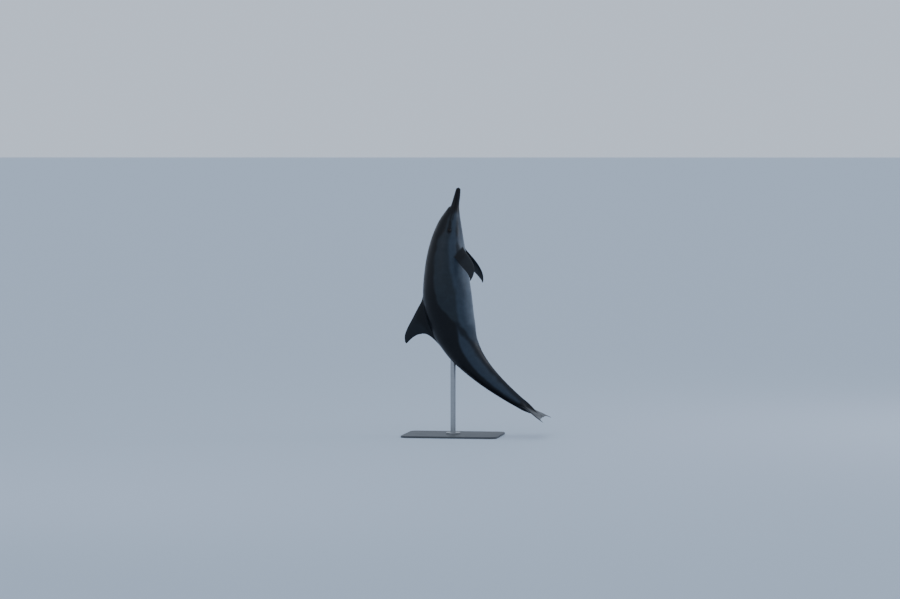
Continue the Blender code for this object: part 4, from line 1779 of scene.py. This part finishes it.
@dataclass(frozen=True)
class WetEye(Finish):
    """A dolphin's eye: a clear wet cornea over a dark brown iris with a wide pupil.

    The cornea is nearly a mirror, so the eye catches a small sharp light.
    """

    name: str = "wet_cornea_over_brown_iris"
    white: str = "#1c1512"
    iris: str = "#2c1c12"
    iris_rim: str = "#0c0806"
    pupil: str = "#030304"
    iris_size: float = 0.72  # shares of the ball's radius
    iris_fade: float = 0.10
    pupil_width: float = 0.40
    pupil_height: float = 0.20
    flecks: float = 14.0  # across a radius
    ragged: float = 0.12  # how far flecks shift the iris's edge
    roughness: float = 0.04
    cornea_ior: float = 1.36

    def surface(self, tree: bpy.types.NodeTree) -> dict:
        """Paint pupil, iris and white by how far the ball's surface looks away.

        Args:
            tree: the material's tree.

        Returns:
            The shader's sockets.
        """
        gaze = add_node(tree, "Attribute", out="Vector", attribute_name="gaze")
        flecks = add_node(tree, "TexNoise", {
            "Vector": gaze, "Scale": self.flecks, "Detail": 4.0,
        })
        away = add_node(tree, "VectorMath", {0: gaze}, out="Value", operation="LENGTH")
        ring = add_node(tree, "Math", {
            0: flecks, 1: self.ragged, 2: away,
        }, operation="MULTIPLY_ADD")
        wide = add_node(tree, "Mapping", {
            "Vector": gaze, "Scale": (1.0 / self.pupil_width, 1.0 / self.pupil_height, 0.0),
        })
        opened = add_node(tree, "VectorMath", {0: wide}, out="Value", operation="LENGTH")
        colour = add_node(tree, "Mix", {
            0: flecks, 6: linear(self.iris_rim), 7: linear(self.iris),
        }, out=2, data_type="RGBA")
        beyond_pupil = add_node(tree, "MapRange", {
            0: opened, 1: 0.9, 2: 1.15,
        }, interpolation_type="SMOOTHSTEP")
        colour = add_node(tree, "Mix", {
            0: beyond_pupil, 6: linear(self.pupil), 7: colour,
        }, out=2, data_type="RGBA")
        beyond_iris = add_node(tree, "MapRange", {
            0: ring, 1: self.iris_size, 2: self.iris_size + self.iris_fade,
        }, interpolation_type="SMOOTHSTEP")
        colour = add_node(tree, "Mix", {
            0: beyond_iris, 6: colour, 7: linear(self.white),
        }, out=2, data_type="RGBA")
        return {"Base Color": colour, "Roughness": self.roughness, "IOR": self.cornea_ior}


@dataclass(frozen=True)
class PowderCoat(Finish):
    """Polyester powder coat, sprayed and baked: matt charcoal with an orange-peel grain.

    The grain breaks up the reflection, so the plate looks soft and dry.
    """

    name: str = "charcoal_powder_coat"
    dark: str = "#3d4043"
    light: str = "#4a4d50"
    grain: float = 1.6 * MM  # real grain is 0.3 mm, too fine to show, so drawn coarser
    grain_depth: float = 0.12 * MM
    clouds: float = 9.0  # faint clouds in the colour, for each metre
    roughness: tuple[float, float] = (0.44, 0.60)
    ior: float = 1.5

    def surface(self, tree: bpy.types.NodeTree) -> dict:
        """Cloud the colour and gloss faintly, and raise the grain.

        Args:
            tree: the material's tree.

        Returns:
            The shader's sockets.
        """
        place = add_node(tree, "TexCoord", out="Object")
        grain, cloud = (
            add_node(tree, "TexNoise", {"Vector": place, "Scale": scale, "Detail": detail})
            for scale, detail in ((1.0 / self.grain, 2.0), (self.clouds, 4.0))
        )
        colour = add_node(tree, "Mix", {
            0: cloud, 6: linear(self.dark), 7: linear(self.light),
        }, out=2, data_type="RGBA")
        low, high = self.roughness
        rough = add_node(tree, "MapRange", {0: cloud, 3: low, 4: high})
        bump = add_node(tree, "Bump", {
            "Height": grain, "Distance": self.grain_depth, "Strength": 0.6,
        })
        return {"Base Color": colour, "Roughness": rough, "Normal": bump, "IOR": self.ior}


@dataclass(frozen=True)
class BrushedSteel(Finish):
    """Stainless steel turned and brushed round: bright, with fine streaks in its gloss.

    The streaks draw each reflection out along the rod.
    """

    name: str = "brushed_stainless_steel"
    dark: str = "#8e9092"
    light: str = "#b9babb"
    streak: float = 1.2 * MM  # real brush lines are 0.1 mm apart, so drawn coarser
    streak_depth: float = 0.05 * MM
    stretch: float = 0.04  # of the streaks round the rod
    roughness: tuple[float, float] = (0.22, 0.42)

    def surface(self, tree: bpy.types.NodeTree) -> dict:
        """Draw streaks round the rod in the colour, the gloss and the relief.

        Args:
            tree: the material's tree.

        Returns:
            The shader's sockets.
        """
        place = add_node(tree, "TexCoord", out="Object")
        across = 1.0 / self.streak
        stretched = add_node(tree, "Mapping", {
            "Vector": place,
            "Scale": (across * self.stretch, across * self.stretch, across),
        })
        lines = add_node(tree, "TexNoise", {"Vector": stretched, "Scale": 1.0, "Detail": 3.0})
        colour = add_node(tree, "Mix", {
            0: lines, 6: linear(self.dark), 7: linear(self.light),
        }, out=2, data_type="RGBA")
        low, high = self.roughness
        rough = add_node(tree, "MapRange", {0: lines, 3: low, 4: high})
        bump = add_node(tree, "Bump", {
            "Height": lines, "Distance": self.streak_depth, "Strength": 0.4,
        })
        return {"Base Color": colour, "Roughness": rough, "Normal": bump, "Metallic": 1.0}


@dataclass(frozen=True)
class PaleFloor(Finish):
    """Painted board floor, rolled on: pale, plain and matt, with only a soft shadow."""

    name: str = "pale_studio_floor"
    colour: str = "#c9d5e2"
    roughness: float = 0.75

    def surface(self, tree: bpy.types.NodeTree) -> dict:
        """One plain colour."""
        return {"Base Color": linear(self.colour), "Roughness": self.roughness}


# ---- pieces


def add_piece(name: str, mesh: bpy.types.Mesh, material: bpy.types.Material) -> bpy.types.Object:
    """Link a mesh to the scene as one piece of the object.

    Args:
        name: the piece's name.
        mesh: its mesh, in the part's frame.
        material: its finish.

    Returns:
        The piece, riding on the one body.
    """
    piece = bpy.data.objects.new(name, mesh)
    bpy.context.scene.collection.objects.link(piece)
    mesh.materials.append(material)
    mesh.shade_smooth()
    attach(piece, ROOT)
    LOG.info("%s: %d faces", name, len(mesh.polygons))
    return piece


def make_mesh(name: str, points: np.ndarray, faces: list[list[int]],
              fields: dict[str, np.ndarray], places: np.ndarray | None = None,
              ) -> bpy.types.Mesh:
    """Closed mesh whose faces look outward, with what its finish reads.

    Args:
        name: the mesh's name.
        points: its points, one a row.
        faces: vertex numbers of each face.
        fields: stored values by name, one or three for each point.
        places: map place of each face's corners in turn, if it is mapped.

    Returns:
        The mesh.
    """
    mesh = bpy.data.meshes.new(name)
    mesh.from_pydata(points.tolist(), [], faces)
    if places is not None:
        layer = mesh.uv_layers.new(name="OFBake")
        layer.data.foreach_set("uv", places.astype(np.float32).ravel())
    corners = np.array([face[:3] for face in faces])
    a, b, c = (points[corners[:, k]] for k in range(3))
    if (a * np.cross(b, c)).sum() < 0.0:
        mesh.flip_normals()
    for field, values in fields.items():
        kind, part = ("FLOAT", "value") if values.ndim == 1 else ("FLOAT_VECTOR", "vector")
        layer = mesh.attributes.new(field, kind, "POINT")
        layer.data.foreach_set(part, values.astype(np.float32).ravel())
    return mesh


@dataclass
class Dolphin:
    """The animal: one skin over all its flesh, and two eyeballs."""

    body: Body
    spine: Spine
    markings: Markings
    flesh: tuple[str, ...] = (
        "beak_upper", "jaw_lower", "melon", "head", "trunk_front", "trunk_rear",
        "tail_stock", "dorsal_fin", "flipper_right", "flipper_left", "fluke_right",
        "fluke_left",
    )

    def slits(self) -> list[Slit]:
        """Blowhole, navel, genital slit, vent and the pinholes of the ears.

        Returns:
            The openings, in that order.
        """
        return [
            Slit(0.1385, 0.0, 25.0 * MM, 2.8 * MM, 5.0 * MM, across=True, curl=5.0 * MM,
                 lip=0.6 * MM),
            Slit(0.4600, math.pi, 12.0 * MM, 2.5 * MM, 1.6 * MM),
            Slit(0.6300, math.pi, 95.0 * MM, 3.6 * MM, 4.0 * MM, lip=1.0 * MM),
            Slit(0.7050, math.pi, 22.0 * MM, 3.2 * MM, 3.0 * MM),
            *(Slit(0.1830, side.value * 1.60, 1.8 * MM, 1.5 * MM, 1.6 * MM, lip=0.3 * MM)
              for side in Side),
        ]

    def fins(self) -> list[Fin]:
        """Dorsal fin and flippers, the left one a little closer to the body.

        Returns:
            The fins.
        """
        return [
            DorsalFin(),
            Flipper(),
            Flipper(side=Side.LEFT, root=(0.2535, -0.0475, 0.0540),
                    tip=(0.3670, -0.1090, 0.1380),
                    forward=(-0.40, -0.72, -0.57), island=(0.71, 0.62, 0.98, 0.97)),
        ]

    def build_skin(self, material: bpy.types.Material) -> bpy.types.Object:
        """Build the skin over all the flesh.

        Args:
            material: its finish.

        Returns:
            The piece.
        """
        grid = BodyGrid(self.body)
        eyes = [Eye(side) for side in Side]
        for part in [*eyes, *self.slits(), *self.fins(), TailBlade()]:
            part.attach(grid)
        grid.add_faces()
        return self.finish_skin(grid.mesh, material)

    def finish_skin(self, gathered: SkinMesh, material: bpy.types.Material) -> bpy.types.Object:
        """Bend the gathered skin into its pose and store what its finish reads.

        Args:
            gathered: the whole skin, straight.
            material: its finish.

        Returns:
            The piece.
        """
        used = np.zeros(gathered.count, bool)
        used[np.concatenate([np.array(f) for f in gathered.faces])] = True
        renumber = (np.cumsum(used) - 1).tolist()
        faces = [[renumber[v] for v in f] for f in gathered.faces]
        rows = np.concatenate(gathered.rows)[used]
        straight = rows[:, :3]
        fields = self.markings.fields(straight)
        # The stored painted shade darkens the skin's folds and openings.
        fields |= {"outward": rows[:, 3], "painted_fold_shade": rows[:, 4], "straight": straight}
        places = np.concatenate(gathered.maps)
        mesh = make_mesh("skin", self.spine.bend(straight), faces, fields, places)
        skin = add_piece("skin", mesh, material)
        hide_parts(*self.flesh)
        return skin

    def build_eye(self, side: Side, material: bpy.types.Material) -> bpy.types.Object:
        """Build one eyeball.

        Args:
            side: which eye.
            material: its finish.

        Returns:
            The piece.
        """
        points, faces, gaze = Eye(side).ball(self.body)
        name = f"eyeball_{side.word}"
        mesh = make_mesh(name, self.spine.bend(points), faces, {"gaze": gaze})
        ball = add_piece(name, mesh, material)
        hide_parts(f"eye_{side.word}")
        return ball


@dataclass
class Stand:
    """Finishes of the display stand, whose shapes are the part's own."""

    plate: str = "stand_base"
    steel: tuple[str, ...] = ("stand_flange", "stand_rod")

    def dress(self, nodes: dict, coat: bpy.types.Material, steel: bpy.types.Material) -> None:
        """Give the stand's nodes their finishes.

        Args:
            nodes: the part's nodes by name.
            coat: finish of the plate.
            steel: finish of the rod and its flange.
        """
        for name, material in [(self.plate, coat)] + [(n, steel) for n in self.steel]:
            materials = nodes[name].data.materials
            materials.clear()
            materials.append(material)
            LOG.info("%s: dressed in %s", name, material.name)


@dataclass(frozen=True)
class Lamp:
    """A square soft lamp."""

    name: str
    place: tuple[float, float, float]
    size: float
    power: float  # watts
    colour: str


@dataclass
class Studio:
    """Floor, light and camera."""

    floor_size: float = 6000.0
    lamps: tuple[Lamp, ...] = (
        Lamp("key", (6.0, 1.6, 3.6), 3.0, 70.0, "#f4f8ff"),
        Lamp("fill", (-2.5, -6.0, 4.2), 4.0, 30.0, "#e8effc"),
    )
    chest: tuple[float, float, float] = (0.0, 0.0, 1.2)  # where the lamps look
    sky: str = "#c8d4e6"
    sky_strength: float = 1.12
    target: tuple[float, float, float] = (-0.024, 0.0, 1.044)  # where the camera looks
    distance: float = 25.8
    azimuth: float = 9.0
    elevation: float = 2.45
    lens: float = 135.0

    def build(self, material: bpy.types.Material) -> None:
        """Set up everything round the object.

        Args:
            material: the floor's finish.
        """
        half = self.floor_size / 2.0
        corners = [(-half, -half, 0.0), (half, -half, 0.0), (half, half, 0.0), (-half, half, 0.0)]
        mesh = bpy.data.meshes.new("floor")
        mesh.from_pydata(corners, [], [(0, 1, 2, 3)])
        mesh.materials.append(material)
        floor = bpy.data.objects.new("floor", mesh)
        bpy.context.scene.collection.objects.link(floor)
        for lamp in self.lamps:
            self.hang(lamp)
        world = bpy.data.worlds.new("studio")
        world.use_nodes = True
        bpy.context.scene.world = world
        background = world.node_tree.nodes["Background"]
        background.inputs["Color"].default_value = linear(self.sky)
        background.inputs["Strength"].default_value = self.sky_strength
        self.camera()

    def hang(self, lamp: Lamp) -> None:
        """Hang one lamp that looks at the animal's chest.

        Args:
            lamp: the lamp.
        """
        light = bpy.data.lights.new(lamp.name, "AREA")
        light.energy, light.size = lamp.power, lamp.size
        light.color = linear(lamp.colour)[:3]
        self.aim(bpy.data.objects.new(lamp.name, light), Vector(lamp.place), self.chest)

    def camera(self) -> None:
        """Look at the animal's right side from a little in front of it."""
        camera = bpy.data.objects.new("camera", bpy.data.cameras.new("camera"))
        camera.data.lens = self.lens
        camera.data.clip_end = 2.0 * self.floor_size
        azimuth, elevation = math.radians(self.azimuth), math.radians(self.elevation)
        away = Vector((
            math.sin(azimuth) * math.cos(elevation),
            -math.cos(azimuth) * math.cos(elevation),
            math.sin(elevation),
        ))
        self.aim(camera, Vector(self.target) + away * self.distance, self.target)
        bpy.context.scene.camera = camera

    def aim(self, thing: bpy.types.Object, place: Vector,
            target: tuple[float, float, float]) -> None:
        """Put a lamp or camera in its place and turn it to its target.

        Args:
            thing: the lamp or camera.
            place: where it goes.
            target: where it looks.
        """
        thing.location = place
        thing.rotation_euler = (Vector(target) - place).to_track_quat("-Z", "Y").to_euler()
        bpy.context.scene.collection.objects.link(thing)


def main() -> None:
    """Build the animal, dress its stand and set up the studio."""
    logging.basicConfig(level=logging.INFO, format="%(name)s: %(message)s")
    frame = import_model()
    dolphin = Dolphin(Body(), Spine(), Markings())
    dolphin.build_skin(WetSkin().build())
    eye_finish = WetEye().build()
    for side in Side:
        dolphin.build_eye(side, eye_finish)
    Stand().dress(frame["nodes"], PowderCoat().build(), BrushedSteel().build())
    Studio().build(PaleFloor().build())
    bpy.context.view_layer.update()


if __name__ == "__main__":
    main()
